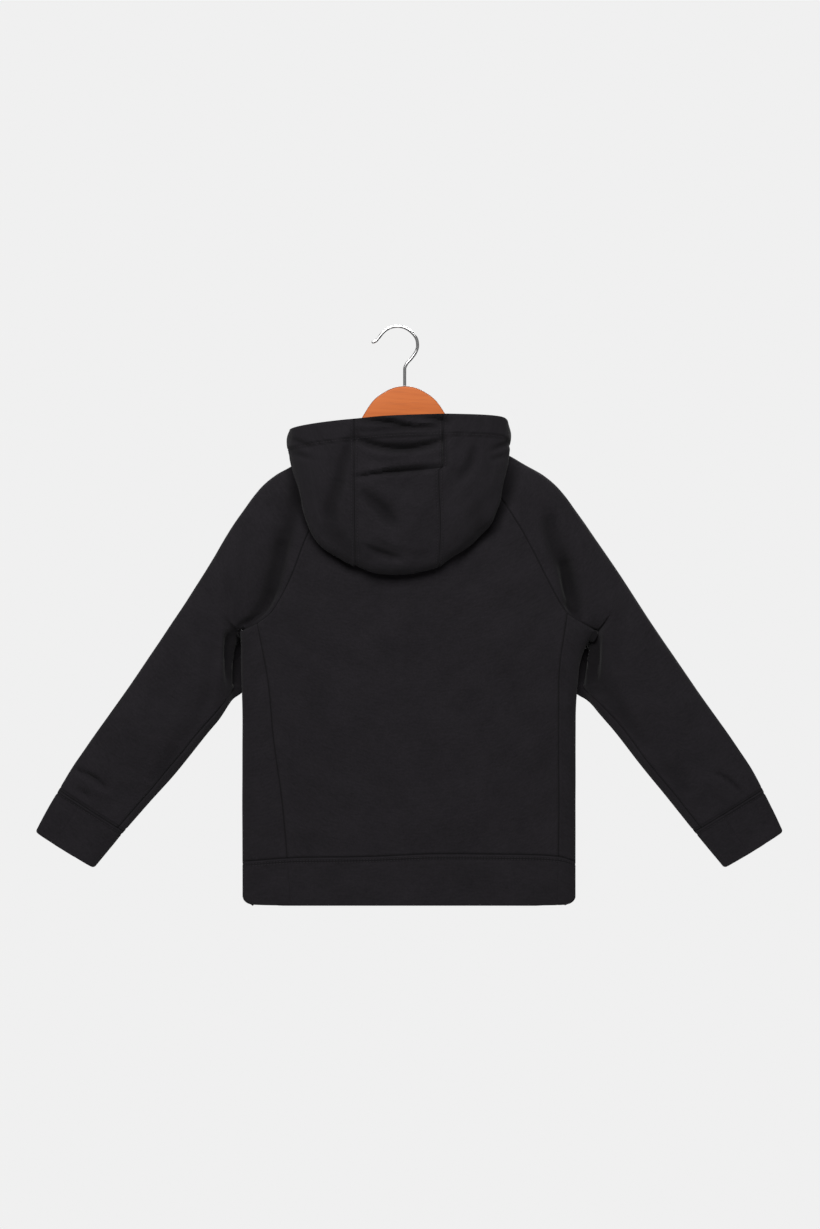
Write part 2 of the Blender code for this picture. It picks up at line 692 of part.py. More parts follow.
def band_seam_x(side, face, drop):
    corner = raglan_seam(side, face)[0][-1]
    return side_seam(side, face, corner, np.array([drop]))[0, 0]


def band_side_grid(side):
    share = 1 - np.cos(np.linspace(math.pi / 2, 0, FOLD_COLUMNS + 1))
    halves = []
    for face in (BACK, FRONT):
        rows = []
        for down in BAND_ROWS:
            level = BAND_DROP + down * (HEM_DROP - BAND_DROP)
            seam = band_seam_x(side, face, level)
            edge = side * side_edge(side, level)
            x = edge + (seam - edge) * share
            start = band_seam_drop(seam + (side * side_edge(side, BAND_DROP) - seam) * (1 - share))
            rows.append(np.stack([x, start + down * (HEM_DROP - start)], axis=-1))
        halves.append(on_garment(np.array(rows), face))
    back, front = halves
    return np.concatenate([back, front[:, -2::-1]], axis=1)


def add_band(cloth):
    ends = [[band_seam_x(side, BACK, drop) for side in (LEFT, RIGHT)] for drop in (BAND_DROP, HEM_DROP)]
    x_top, x_bottom = (np.linspace(*pair, BACK_COLUMNS + 1) for pair in ends)
    add_panel("band_back", on_garment(band_plan(x_top, x_bottom), BACK), cloth, DOUBLE_WALL)
    for side, word in ((LEFT, "left"), (RIGHT, "right")):
        x_top, x_bottom = (
            np.linspace(band_seam_x(side, FRONT, drop), side * ZIP_HALF_OPEN, FRONT_COLUMNS + 1)
            for drop in (BAND_DROP, HEM_DROP)
        )
        front = on_garment(band_plan(x_top, x_bottom), FRONT)
        add_panel(f"band_front_{word}", front if side == RIGHT else front[:, ::-1], cloth, DOUBLE_WALL)
        around = band_side_grid(side)
        add_panel(f"band_side_{word}", around if side == RIGHT else around[:, ::-1], cloth, DOUBLE_WALL)


# ---------------------------------------------------------------- hood

WHOLE_TOP = np.concatenate([TOP_LINE[:0:-1] * (-1, 1), TOP_LINE])
WHOLE_TOP_WAY = np.gradient(WHOLE_TOP, axis=0)
WHOLE_TOP_WAY /= np.linalg.norm(WHOLE_TOP_WAY, axis=1, keepdims=True)
WHOLE_TOP_IN = np.stack([-WHOLE_TOP_WAY[:, 1], WHOLE_TOP_WAY[:, 0]], axis=1)


def round_the_top(plan, face):
    """A place on the cloth as (how far along the upper edge, angle round its fold from the edge)."""
    gaps = np.linalg.norm(WHOLE_TOP - plan, axis=1)
    along = int(gaps.argmin())
    share = gaps[along] / TOP_FOLD_REACH
    angle = math.acos(1 - share) if share < 1 else math.pi / 2 + share - 1
    return np.array([along, face * angle])


def over_the_top(along, angle, lift):
    """The 3D point for such a place, lifted off the cloth, and the cloth's normal there."""
    index = np.arange(len(WHOLE_TOP))
    edge = np.array([np.interp(along, index, WHOLE_TOP[:, i]) for i in (0, 1)])
    inward = np.array([np.interp(along, index, WHOLE_TOP_IN[:, i]) for i in (0, 1)])
    turn = min(abs(angle), math.pi / 2)
    inset = TOP_FOLD_REACH * (1 - math.cos(turn) + abs(angle) - turn)
    plan = edge + inset * inward
    depth = read(DEPTH, plan[1], 1)
    side_turn = math.copysign(math.sin(turn), angle)
    normal = np.array([-math.cos(turn) * inward[0], side_turn, math.cos(turn) * inward[1]])
    point = np.array([CENTRE_X + plan[0], depth * side_turn, -plan[1]])
    return point + lift * normal, normal


def bezier(points, t):
    a, b, c, d = points
    t = np.asarray(t)[:, None]
    return (1 - t) ** 3 * a + 3 * t * (1 - t) ** 2 * b + 3 * t**2 * (1 - t) * c + t**3 * d


def rise_and_outward(side, round_neck, cloth_normal):
    """The ways in which the hood leaves the neck seam and then rolls outwards."""
    round_way = np.array([side * math.sin(round_neck), math.cos(round_neck), 0.0])
    depth = NECK_FRONT_DROP - SHOULDER_POINT[1]
    sideways, rise = -side * math.sin(round_neck) / SHOULDER_POINT[0], abs(math.cos(round_neck)) / depth
    into_hole = np.array([sideways, 0.0, rise])
    into_hole -= cloth_normal * (into_hole @ cloth_normal)
    share = ease((math.degrees(round_neck) - 75.0) / 30.0)
    up = (1 - share) * np.array([0.0, 0.0, 1.0]) + share * into_hole / np.linalg.norm(into_hole)
    out = (1 - share) * round_way + share * cloth_normal
    return up / np.linalg.norm(up), out / np.linalg.norm(out)


def hood_spoke(degrees, fold_x, fold_drop, rim_x, rim_y, rim_drop):
    """The hood's outside from the neck seam, over the roll, down, round the fold and up to the rim."""
    side, face = (LEFT if degrees >= 0 else RIGHT), (BACK if abs(degrees) <= 90 else FRONT)
    round_neck = math.radians(abs(degrees))
    forward = ease((abs(degrees) - 75.0) / 90.0)
    neck_plan_point = neck_plan(side, abs(degrees))
    neck = on_garment(neck_plan_point, face)
    start = round_the_top(neck_plan_point, face)
    up, out = rise_and_outward(side, round_neck, over_the_top(*start, 0.0)[1])
    stand = HOOD_STAND[0] + ease((abs(degrees) - 60.0) / 35.0) * (HOOD_STAND[1] - HOOD_STAND[0])
    points = [neck, neck + up * stand]
    for angle in (math.pi / 3, 2 * math.pi / 3, math.pi):
        rise, outward = HOOD_ROLL * math.sin(angle), HOOD_ROLL * (1 - math.cos(angle))
        points.append(neck + up * (stand + rise) + out * outward)
    radius = HOOD_FOLD[0] + forward * (HOOD_FOLD[1] - HOOD_FOLD[0])
    fold_plan = np.array([fold_x - CENTRE_X, fold_drop])
    clear = HOOD_CLEAR[0] + ease((abs(degrees) - 50.0) / 30.0) * (HOOD_CLEAR[1] - HOOD_CLEAR[0])
    way = fold_plan - neck_plan_point
    end = round_the_top(fold_plan - radius * way / np.linalg.norm(way), face)
    end[1] *= min(abs(abs(degrees) - 90.0) / HOOD_TURN_DEGREES, 1.0)
    for share in HOOD_PATH_SHARES:
        along, angle = start + share * (end - start)
        point, normal = over_the_top(along, angle, clear)
        points.append(point)
    down = points[-1] - points[-2]
    down -= normal * (down @ normal)
    down /= np.linalg.norm(down)
    base = points[-1]
    for angle in (math.pi / 4, math.pi / 2):
        points.append(base + radius * (math.sin(angle) * down + (1 - math.cos(angle)) * normal))
    rim = np.array([rim_x, rim_y, -rim_drop])
    shrunk = ease((abs(degrees) - FULLNESS_DEGREES[0]) / FULLNESS_DEGREES[1])
    swell = HOOD_FULLNESS[0] + shrunk * (HOOD_FULLNESS[1] - HOOD_FULLNESS[0])
    rise = np.linalg.norm(rim - points[-1])
    controls = (points[-1], points[-1] + swell * normal, rim - up * RIM_PULL * rise, rim)
    points.extend(bezier(controls, np.linspace(0, 1, 8)[1:]))
    points = np.array(points)
    length = np.concatenate([[0.0], np.cumsum(np.linalg.norm(np.diff(points, axis=0), axis=1))])
    span = rim - neck
    low = neck + up * PLAIN_RISE[0] * np.linalg.norm(span) + PLAIN_RISE[1] * out
    high = rim - PLAIN_LEAN[0] * span + PLAIN_LEAN[1] * out
    plain = bezier((neck, low, high, rim), length / length[-1])
    points += ease((abs(degrees) - PLAIN_DEGREES[0]) / PLAIN_DEGREES[1]) * (plain - points)
    if face == FRONT:
        lift = HOOD_LIFT * ease((np.arange(len(points)) - 4.0) / 2.0)
        x, drop = points[:, 0] - CENTRE_X, -points[:, 2]
        over = half_depth(x, drop, FRONT) + lift
        beside_cloth = drop > np.interp(np.abs(x), *TOP_LINE.T)
        points[beside_cloth, 1] = np.minimum(points[:, 1], -over)[beside_cloth]
    return points


def hood_grid(where):
    """The hood's outside, a column at each of these places between stations, rows from neck to rim."""
    stations = np.array(HOOD_STATIONS, float)
    rows = np.stack([smooth(where, np.arange(len(stations)), column) for column in stations.T], axis=1)
    return np.array([hood_spoke(*row) for row in rows]).transpose(1, 0, 2)[:, ::-1]


def add_hood(cloth):
    left_columns = np.array(HOOD_SIDE_COLUMNS)
    last = len(HOOD_STATIONS) - 1
    add_panel("hood_left", hood_grid(left_columns), cloth)
    add_panel("hood_centre", hood_grid(np.linspace(*HOOD_STRIP_STATIONS, HOOD_STRIP_COLUMNS + 1)), cloth)
    add_panel("hood_right", hood_grid(last - left_columns[::-1]), cloth)


# ---------------------------------------------------------------- zip

def zip_front(drop):
    """y of the cloth's outside beside the zip."""
    return -half_depth(np.full_like(drop, ZIP_HALF_OPEN), drop, FRONT)


def tape_grid(side):
    drop = np.linspace(NECK_FRONT_DROP + TAPE_END_IN, HEM_DROP - TAPE_END_IN, ZIP_ROWS + 1)
    start, end = ZIP_TO_BAND
    behind = WALL + (DOUBLE_WALL - WALL) * ease((drop - start) / (end - start)) + SEAM_GAP
    x = np.array([TAPE_IN, (TAPE_IN + TAPE_OUT) / 2, TAPE_OUT])
    grid = np.zeros((len(drop), len(x), 3))
    grid[..., 0] = CENTRE_X + side * x
    grid[..., 1] = (zip_front(drop) + behind)[:, None]
    grid[..., 2] = -drop[:, None]
    return grid if side == LEFT else grid[:, ::-1]


def teeth_grid():
    drop = np.linspace(SLIDER_TOP_DROP + TEETH_TOP_IN, HEM_DROP - TAPE_END_IN, ZIP_ROWS + 1)
    x = np.array([-TEETH_HALF_WIDTH, 0.0, TEETH_HALF_WIDTH])
    grid = np.zeros((len(drop), len(x), 3))
    grid[..., 0] = CENTRE_X + x
    grid[..., 1] = (zip_front(drop) + TEETH_SUNK)[:, None]
    grid[..., 2] = -drop[:, None]
    return grid


def box_solid(name, low, high, material):
    """A plain block between two corners, in millimetres."""
    low, high = np.array(low, float), np.array(high, float)
    corners = np.array([[x, y, z] for x in (0, 1) for y in (0, 1) for z in (0, 1)])
    faces = [(0, 1, 3, 2), (4, 6, 7, 5), (0, 4, 5, 1), (2, 3, 7, 6), (0, 2, 6, 4), (1, 5, 7, 3)]
    return add_solid(name, low + corners * (high - low), faces, material)


def rod_solid(name, centre, radius, half_length, material, sides=16):
    """A rod along X."""
    angles = np.linspace(0, 2 * math.pi, sides, endpoint=False)
    ring = np.stack([np.zeros(sides), radius * np.cos(angles), radius * np.sin(angles)], axis=1)
    vertices = np.concatenate([ring - (half_length, 0, 0), ring + (half_length, 0, 0)]) + centre
    faces = [tuple(range(sides - 1, -1, -1)), tuple(range(sides, 2 * sides))]
    faces += [(i, (i + 1) % sides, (i + 1) % sides + sides, i + sides) for i in range(sides)]
    return add_solid(name, vertices, faces, material)


def combine(target, helper, operation):
    """Adds a helper to a solid, or cuts it away, and hides the helper."""
    helper.hide_render = True
    helper.display_type = "WIRE"
    modifier = target.modifiers.new(helper.name, "BOOLEAN")
    modifier.operation = operation
    modifier.object = helper


def zip_pin():
    """The pull tab's hinge: a point on the axis, which lies along X."""
    front = float(zip_front(np.array([SLIDER_TOP_DROP + SLIDER_LENGTH / 2]))[0])
    out = REST_GAP + SLIDER_PLATE + PIN_OUT
    return np.array([CENTRE_X, front - out, -(SLIDER_TOP_DROP + SLIDER_LENGTH / 2)])


def add_slider(metal):
    """Front and back plates joined above the teeth, with two lugs and a pin for the tab."""
    pin = zip_pin()
    front = pin[1] + PIN_OUT
    top, bottom = -SLIDER_TOP_DROP, -(SLIDER_TOP_DROP + SLIDER_LENGTH)
    rear = front + SLIDER_PLATE + REST_GAP + TEETH_SUNK + TEETH_THICKNESS + SEAM_GAP
    half = SLIDER_WIDTH / 2
    narrow = TEETH_HALF_WIDTH - SLIDER_NECK_IN
    slider = box_solid(
        "zip_slider", (CENTRE_X - half, front, bottom), (CENTRE_X + half, front + SLIDER_PLATE, top), metal
    )
    lug_low, lug_high = pin[2] - LUG_HALF_HEIGHT, pin[2] + LUG_HALF_HEIGHT
    lug_front, lug_back = pin[1] - LUG_HALF_HEIGHT, front + JOIN_DEPTH
    neck_low, back = top - SLIDER_NECK_LENGTH, rear + SLIDER_BACK
    blocks = (
        ("slider_neck", (-narrow, front + JOIN_DEPTH, neck_low), (narrow, back, top)),
        ("slider_back", (-narrow, rear, bottom), (narrow, back, top - JOIN_DEPTH)),
        ("slider_lug_left", (LUG_IN, lug_front, lug_low), (LUG_OUT, lug_back, lug_high)),
        ("slider_lug_right", (-LUG_OUT, lug_front, lug_low), (-LUG_IN, lug_back, lug_high)),
    )
    for name, low, high in blocks:
        shift = np.array([CENTRE_X, 0.0, 0.0])
        combine(slider, box_solid(name, low + shift, high + shift, metal), "UNION")
    combine(slider, rod_solid("slider_pin", pin, PIN_RADIUS, LUG_IN + JOIN_DEPTH, metal), "UNION")


def add_pull_tab(metal):
    """A flat tab that hangs from an eye round the slider's pin."""
    pin = zip_pin()
    tab = rod_solid("zip_pull_tab", pin, TAB_EYE_RADIUS, TAB_EYE_HALF_LENGTH, metal)
    plates = (
        ("tab_neck", (-TAB_EYE_HALF_LENGTH, TAB_NECK_LENGTH), (TAB_EYE_HALF_LENGTH, 0.0)),
        ("tab_plate", (-TAB_WIDTH / 2, TAB_LENGTH), (TAB_WIDTH / 2, TAB_NECK_LENGTH - 1.0)),
    )
    for name, (x_0, below_0), (x_1, below_1) in plates:
        low = pin + (x_0, -TAB_THICKNESS / 2, -below_0)
        high = pin + (x_1, TAB_THICKNESS / 2, -below_1)
        combine(tab, box_solid(name, low, high, metal), "UNION")
    combine(tab, rod_solid("tab_hole", pin, TAB_HOLE_RADIUS, 2 * TAB_EYE_HALF_LENGTH, metal), "DIFFERENCE")


def add_zip(tape, metal):
    add_panel("zip_tape_left", tape_grid(LEFT), tape, TAPE_THICKNESS)
    add_panel("zip_tape_right", tape_grid(RIGHT), tape, TAPE_THICKNESS)
    add_panel("zip_teeth", teeth_grid(), metal, TEETH_THICKNESS)
    add_slider(metal)
    add_pull_tab(metal)


# ---------------------------------------------------------------- hanger

def hanger_top_drop(x):
    """The wood's upper edge: the head in the middle, the arms just under the cloth."""
    out = np.abs(x - CENTRE_X)
    beside = np.abs(x - HANGER_X)
    clear = WALL + 2 * REST_GAP
    slope = np.interp(out, TOP_LINE[:, 0], np.gradient(TOP_LINE[:, 1], TOP_LINE[:, 0]))
    arm = np.interp(out, TOP_LINE[:, 0], TOP_LINE[:, 1]) + clear * np.hypot(1.0, slope)
    head = read(HANGER_HEAD, beside, 1)
    blend = ease((beside - HANGER_JOIN[0]) / (HANGER_JOIN[1] - HANGER_JOIN[0]))
    return head + blend * (arm - head)


def hanger_sections():
    """Closed rings in upright planes, from the left end of the wood to the right end."""
    straight_end = HANGER_END_OUT - HANGER_END_ROUND
    rounding = straight_end + HANGER_END_ROUND * np.cos(np.linspace(0.12, math.pi / 2, 4))
    between = np.linspace(straight_end, -straight_end, HANGER_SECTIONS)[1:-1]
    across = np.concatenate([rounding, between, -rounding[::-1]])
    angles = np.radians([90, 45, 0, 0, -45, -90, -135, 180, 180, 135])
    upper = np.array([1, 1, 1, -1, -1, -1, -1, -1, 1, 1])
    rings = []
    for out in across:
        x = CENTRE_X + out
        top = float(hanger_top_drop(np.array([x]))[0])
        bottom = float(read(HANGER_UNDERSIDE, abs(out), 1))
        past = max(abs(out) - straight_end, 0.0) / HANGER_END_ROUND
        scale = math.sqrt(max(1 - past**2, 0.0))
        least_height, least_thickness = HANGER_END_LEAST
        half = (bottom - top) / 2 * (least_height + (1 - least_height) * scale)
        middle = (top + bottom) / 2
        radius = HANGER_HALF_THICKNESS * max(scale, least_thickness)
        straight = max(half - radius, HANGER_LEAST_STRAIGHT)
        y = radius * np.cos(angles)
        z = -middle + upper * straight + radius * np.sin(angles)
        rings.append(np.stack([np.full(len(angles), x), y, z], axis=1))
    return np.array(rings)


def add_hanger(wood, metal):
    rings = hanger_sections()
    count, sides = rings.shape[:2]
    faces = [tuple(range(sides - 1, -1, -1)), tuple(range((count - 1) * sides, count * sides))]
    for i in range(count - 1):
        for j in range(sides):
            k = (j + 1) % sides
            faces.append((i * sides + k, (i + 1) * sides + k, (i + 1) * sides + j, i * sides + j))
    add_solid("hanger_wood", rings.reshape(-1, 3), faces, wood)
    line = spread(HOOK_LINE, 44)
    curve = bpy.data.curves.new("hanger_hook", "CURVE")
    curve.dimensions = "3D"
    curve.bevel_depth = HOOK_WIRE_RADIUS * MM
    curve.bevel_resolution = 3
    curve.use_fill_caps = True
    spline = curve.splines.new("POLY")
    spline.points.add(len(line) - 1)
    for point, (x, drop) in zip(spline.points, line):
        point.co = (x * MM, 0.0, -drop * MM, 1.0)
    curve.materials.append(metal)
    hook = bpy.data.objects.new("hanger_hook", curve)
    bpy.context.scene.collection.objects.link(hook)


# ---------------------------------------------------------------- all

def main():
    clear_scene()
    cloth = make_material("fleece", (0.012, 0.011, 0.013), 0.95)
    tape = make_material("zip_tape", (0.012, 0.012, 0.013), 0.8)
    metal = make_material("dark_metal", (0.05, 0.05, 0.055), 0.4, 1.0)
    chrome = make_material("chrome", (0.75, 0.75, 0.76), 0.12, 1.0)
    wood = make_material("varnished_wood", (0.52, 0.16, 0.045), 0.35)
    add_body(cloth)
    add_sleeves(cloth)
    add_band(cloth)
    add_hood(cloth)
    add_zip(tape, metal)
    add_hanger(wood, chrome)


main()
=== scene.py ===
# %% [markdown]
# # A zip-up hooded sweatshirt on a wooden hanger
# The sweatshirt is a child's, in near-black brushed fleece, and hangs from a wooden hanger. We see
# its back: raglan sleeves, a three-panel hood that hangs down, cuffs and a hem band of the same
# cloth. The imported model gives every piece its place, so it is loaded first and never moved. Each
# cloth panel is then made again as a thin shell on the same form, fine enough to carry creases,
# sunk seams and stitches.

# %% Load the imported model
import json
import math

import bpy
import mathutils
import numpy as np
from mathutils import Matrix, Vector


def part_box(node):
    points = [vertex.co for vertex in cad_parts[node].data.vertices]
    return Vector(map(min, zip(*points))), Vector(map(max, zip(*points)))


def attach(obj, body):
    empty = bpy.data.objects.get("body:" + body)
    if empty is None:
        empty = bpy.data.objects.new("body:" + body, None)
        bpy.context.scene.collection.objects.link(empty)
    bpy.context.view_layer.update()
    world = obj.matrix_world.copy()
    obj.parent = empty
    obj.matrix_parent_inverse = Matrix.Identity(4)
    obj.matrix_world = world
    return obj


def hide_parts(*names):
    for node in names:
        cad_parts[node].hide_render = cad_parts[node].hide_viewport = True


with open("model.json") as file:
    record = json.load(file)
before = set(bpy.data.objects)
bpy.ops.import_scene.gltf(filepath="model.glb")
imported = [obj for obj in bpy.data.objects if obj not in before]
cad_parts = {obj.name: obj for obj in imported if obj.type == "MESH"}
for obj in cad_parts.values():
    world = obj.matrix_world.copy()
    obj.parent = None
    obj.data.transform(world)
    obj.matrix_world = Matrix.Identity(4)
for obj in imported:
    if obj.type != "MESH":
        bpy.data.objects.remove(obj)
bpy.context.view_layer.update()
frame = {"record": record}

# %% [markdown]
# Lengths are in millimetres, as a pattern cutter would give them, and turn into metres when a mesh
# is made. `x` is counted from the garment's centreline, positive to the wearer's left, `out` is its
# size without the sign, and `drop` is counted down from the hook's inner top, where it hangs.

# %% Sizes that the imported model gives
MM = 0.001
LEFT, RIGHT = 1, -1
BACK, FRONT = 1, -1
SIDES = ((LEFT, "left"), (RIGHT, "right"))


def node_box(node):
    """Lowest and highest corner of a CAD node, in millimetres."""
    low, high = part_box(node)
    return np.array(low) / MM, np.array(high) / MM


tab_low, tab_high = node_box("zip_pull_tab")
CENTRE_X = (tab_low[0] + tab_high[0]) / 2
HEM_DROP = -node_box("band_back")[0][2] + 0.15
print("centreline", round(CENTRE_X, 2), "hem drop", round(HEM_DROP, 1))

# %% [markdown]
# A garment's outline is a smooth curve through a few places that a ruler would find. One function
# draws such a curve without overshooting, and another spreads points evenly along it, because even
# points make even cloth.

# %% Curves
def smooth(where, places, values):
    """A smooth curve through the values at these places, which never overshoots them."""
    places, values = np.asarray(places, float), np.asarray(values, float)
    step = np.diff(places)
    slope = np.diff(values) / step
    before, after = slope[:-1], slope[1:]
    middle = (before * step[1:] + after * step[:-1]) / (step[:-1] + step[1:])
    steepest = 3 * np.minimum(abs(before), abs(after))
    middle = np.clip(middle, -steepest, steepest)
    tangent = np.concatenate([slope[:1], np.where(before * after > 0, middle, 0.0), slope[-1:]])
    where = np.clip(where, places[0], places[-1])
    i = np.clip(np.searchsorted(places, where, side="right") - 1, 0, len(step) - 1)
    t = (where - places[i]) / step[i]
    rise = values[i] * (1 + 2 * t) * (1 - t) ** 2 + values[i + 1] * t**2 * (3 - 2 * t)
    return rise + step[i] * (tangent[i] * t * (1 - t) ** 2 - tangent[i + 1] * t**2 * (1 - t))


def lengths(line):
    """How far along a line each of its points lies."""
    return np.concatenate([[0.0], np.cumsum(np.linalg.norm(np.diff(line, axis=0), axis=1))])


def resample(line, shares):
    """Points at these shares of a line's length."""
    along = lengths(line)
    return np.stack([np.interp(np.asarray(shares) * along[-1], along, column) for column in line.T], axis=-1)


def spread(knots, count):
    """Even points on a smooth curve through the knots."""
    knots = np.array(knots, float)
    along = lengths(knots)
    fine = np.linspace(0.0, along[-1], 40 * len(knots))
    curve = np.stack([smooth(fine, along, column) for column in knots.T], axis=1)
    return resample(curve, np.linspace(0, 1, count))


def read(table, place, column):
    """A column of a table, read smoothly where its first column holds `place`."""
    table = np.array(table, float)
    return smooth(place, table[:, 0], table[:, column])


def ease(t):
    """A soft step from 0 to 1, level at both ends."""
    t = np.clip(t, 0.0, 1.0)
    return t * t * (3 - 2 * t)


def unit(ways):
    return ways / np.maximum(np.linalg.norm(ways, axis=-1, keepdims=True), 1e-9)


FINEST_STEP, STEP_GROWTH = 0.5, 1.4


def steps(length, even, ends=(True, True)):
    """Shares from 0 to 1 that are even in the middle and close together towards worked ends."""
    close = [FINEST_STEP]
    while close[-1] * STEP_GROWTH < even:
        close.append(close[-1] * STEP_GROWTH)
    first, last = close if ends[0] else [], close[::-1] if ends[1] else []
    middle = max(round((length - sum(first) - sum(last)) / even), 1)
    sizes = np.array(first + [even] * middle + last)
    return np.concatenate([[0.0], np.cumsum(sizes) / sizes.sum()])


print("a 100 mm line gets", len(steps(100, 4.0)), "points")

# %% [markdown]
# The garment hangs almost flat. Its outline is one table for the upper edge, from the neck over the
# shoulder to the cuff, and one for the side. `turn` says how far it is turned round on its hanger
# there: the photographed side seams lean the same way, not towards each other.

# %% The flat garment's outline
TOP_EDGE = (  # out, drop
    (0, 131), (40, 132), (74, 136), (97, 143), (121, 154), (140, 165), (161, 177),
    (175, 188.5), (186, 201), (199, 219), (216, 243), (241, 279), (288, 351), (337, 423),
    (394, 504), (413, 533), (424, 554), (442, 590.6), (448.5, 605),
)
SHOULDER_POINT = (74, 136)
NECK_BACK_DROP, NECK_FRONT_DROP = 157, 205.0
SIDE_EDGE = (  # drop, out, turn
    (364, 214.3, 10.7),
    (380, 207.6, 5.4),
    (400, 203.8, 1.6),
    (430, 201.5, 0),
    (470, 200, -0.6),
    (680, 200, -0.6),
    (684, 199.1, -0.6),
    (688, 196.4, -0.6),
    (691, 191.6, -0.6),
    (692.6, 185.5, -0.6),
)
UNDERARM_DROP = 364.0
BAND_DROP = 635.0
BAND_SEAM = (  # x, drop
    (-200, 640.5),
    (-178, 633.5),
    (-110, 631),
    (-40, 630.5),
    (52, 633.8),
    (146, 635.5),
    (201, 640),
)
TOP_LINE = spread(TOP_EDGE, 160)


def side_edge(side, drop):
    return read(SIDE_EDGE, drop, 1) - side * read(SIDE_EDGE, drop, 2)


def band_seam_drop(x):
    return read(BAND_SEAM, x, 1)


def top_point(out):
    return np.array([out, np.interp(out, *TOP_LINE.T)])


# %% [markdown]
# How far the cloth stands from the mid-plane depends on the distance from the folded edges: it
# rises as a quarter circle from each edge, and is nearly level in the middle. Around this base form
# a few long soft troughs run beside the raglan seams, where the sleeves pull.

# %% The hanging garment's depth
DEPTH = (  # drop, half depth
    (130, 17),
    (200, 18.5),
    (300, 19.5),
    (364, 19),
    (430, 18),
    (520, 16.5),
    (600, 14.5),
    (692.6, 12.5),
)
FOLD_REACH = 34.0
TROUGHS = (  # side, face, out 0, drop 0, out 1, drop 1, depth, half width
    (LEFT, BACK, 142, 205, 166, 310, 5, 15),
    (LEFT, BACK, 166, 310, 190, 352, 5, 12),
    (RIGHT, BACK, 170, 225, 190, 290, 5, 14),
    (RIGHT, BACK, 190, 290, 200, 336, 5, 11),
    (LEFT, FRONT, 150, 215, 176, 325, 5, 15),
    (RIGHT, FRONT, 152, 230, 182, 330, 5, 14),
)


def fold(share):
    """Depth of a folded edge, from 0 on the edge to 1 at its full reach."""
    return np.sqrt(np.clip(1 - (1 - np.clip(share, 0.0, 1.0)) ** 2, 0.0, 1.0))


def gap_to_line(points, start, end):
    """Distance of points from a line's nearest point, and how far along it that is, 0 to 1."""
    start, end = np.asarray(start, float), np.asarray(end, float)
    along = np.clip((points - start) @ (end - start) / np.sum((end - start) ** 2), 0.0, 1.0)
    return np.linalg.norm(points - start - along[..., None] * (end - start), axis=-1), along


def from_top_edge(x, drop):
    """Distance from the upper edge: from its nearest point, then from the lines beside that."""
    points = np.stack([np.abs(x), drop], axis=-1).reshape(-1, 2)
    nearest = np.concatenate([
        np.linalg.norm(part[:, None] - TOP_LINE, axis=-1).argmin(axis=1)
        for part in np.array_split(points, len(points) // 4000 + 1)
    ])
    gaps = []
    for shift in (-1, 0):
        first = np.clip(nearest + shift, 0, len(TOP_LINE) - 2)
        start, way = TOP_LINE[first], TOP_LINE[first + 1] - TOP_LINE[first]
        along = np.clip(((points - start) * way).sum(axis=1) / (way**2).sum(axis=1), 0, 1)
        gaps.append(np.linalg.norm(points - start - along[:, None] * way, axis=1))
    return np.minimum(*gaps).reshape(np.shape(x))


def from_side_edge(x, drop):
    side = np.where(x >= 0, LEFT, RIGHT)
    out = np.abs(x)
    level = side_edge(side, np.maximum(drop, UNDERARM_DROP)) - out
    above = np.hypot(side_edge(side, np.full_like(out, UNDERARM_DROP)) - out, UNDERARM_DROP - drop)
    return np.where(drop < UNDERARM_DROP, above, level)


def trough_depth(x, drop, face):
    total = np.zeros(np.shape(x))
    for side, trough_face, out_0, drop_0, out_1, drop_1, depth, half_width in TROUGHS:
        if trough_face == face:
            points = np.stack([side * np.asarray(x, float), np.asarray(drop, float)], axis=-1)
            gap, along = gap_to_line(points, (out_0, drop_0), (out_1, drop_1))
            total += depth * np.exp(-((gap / half_width) ** 2)) * (0.4 + 0.6 * np.sin(math.pi * along))
    return total


def half_depth(x, drop, face):
    """How far the cloth's outside lies from the mid-plane, anywhere on the body and shoulders."""
    shape = fold(from_top_edge(x, drop) / FOLD_REACH) * fold(from_side_edge(x, drop) / FOLD_REACH)
    return (read(DEPTH, drop, 1) - trough_depth(x, drop, face)) * shape


def on_garment(plan, face):
    """3D points on the outside of the back or front, from (x, drop)."""
    x, drop = plan[..., 0], plan[..., 1]
    return np.stack([CENTRE_X + x, face * half_depth(x, drop, face), -drop], axis=-1)


middle_of_back = half_depth(np.zeros(1), np.full(1, 400.0), BACK)
print("half depth in the middle of the back:", np.round(middle_of_back, 1))
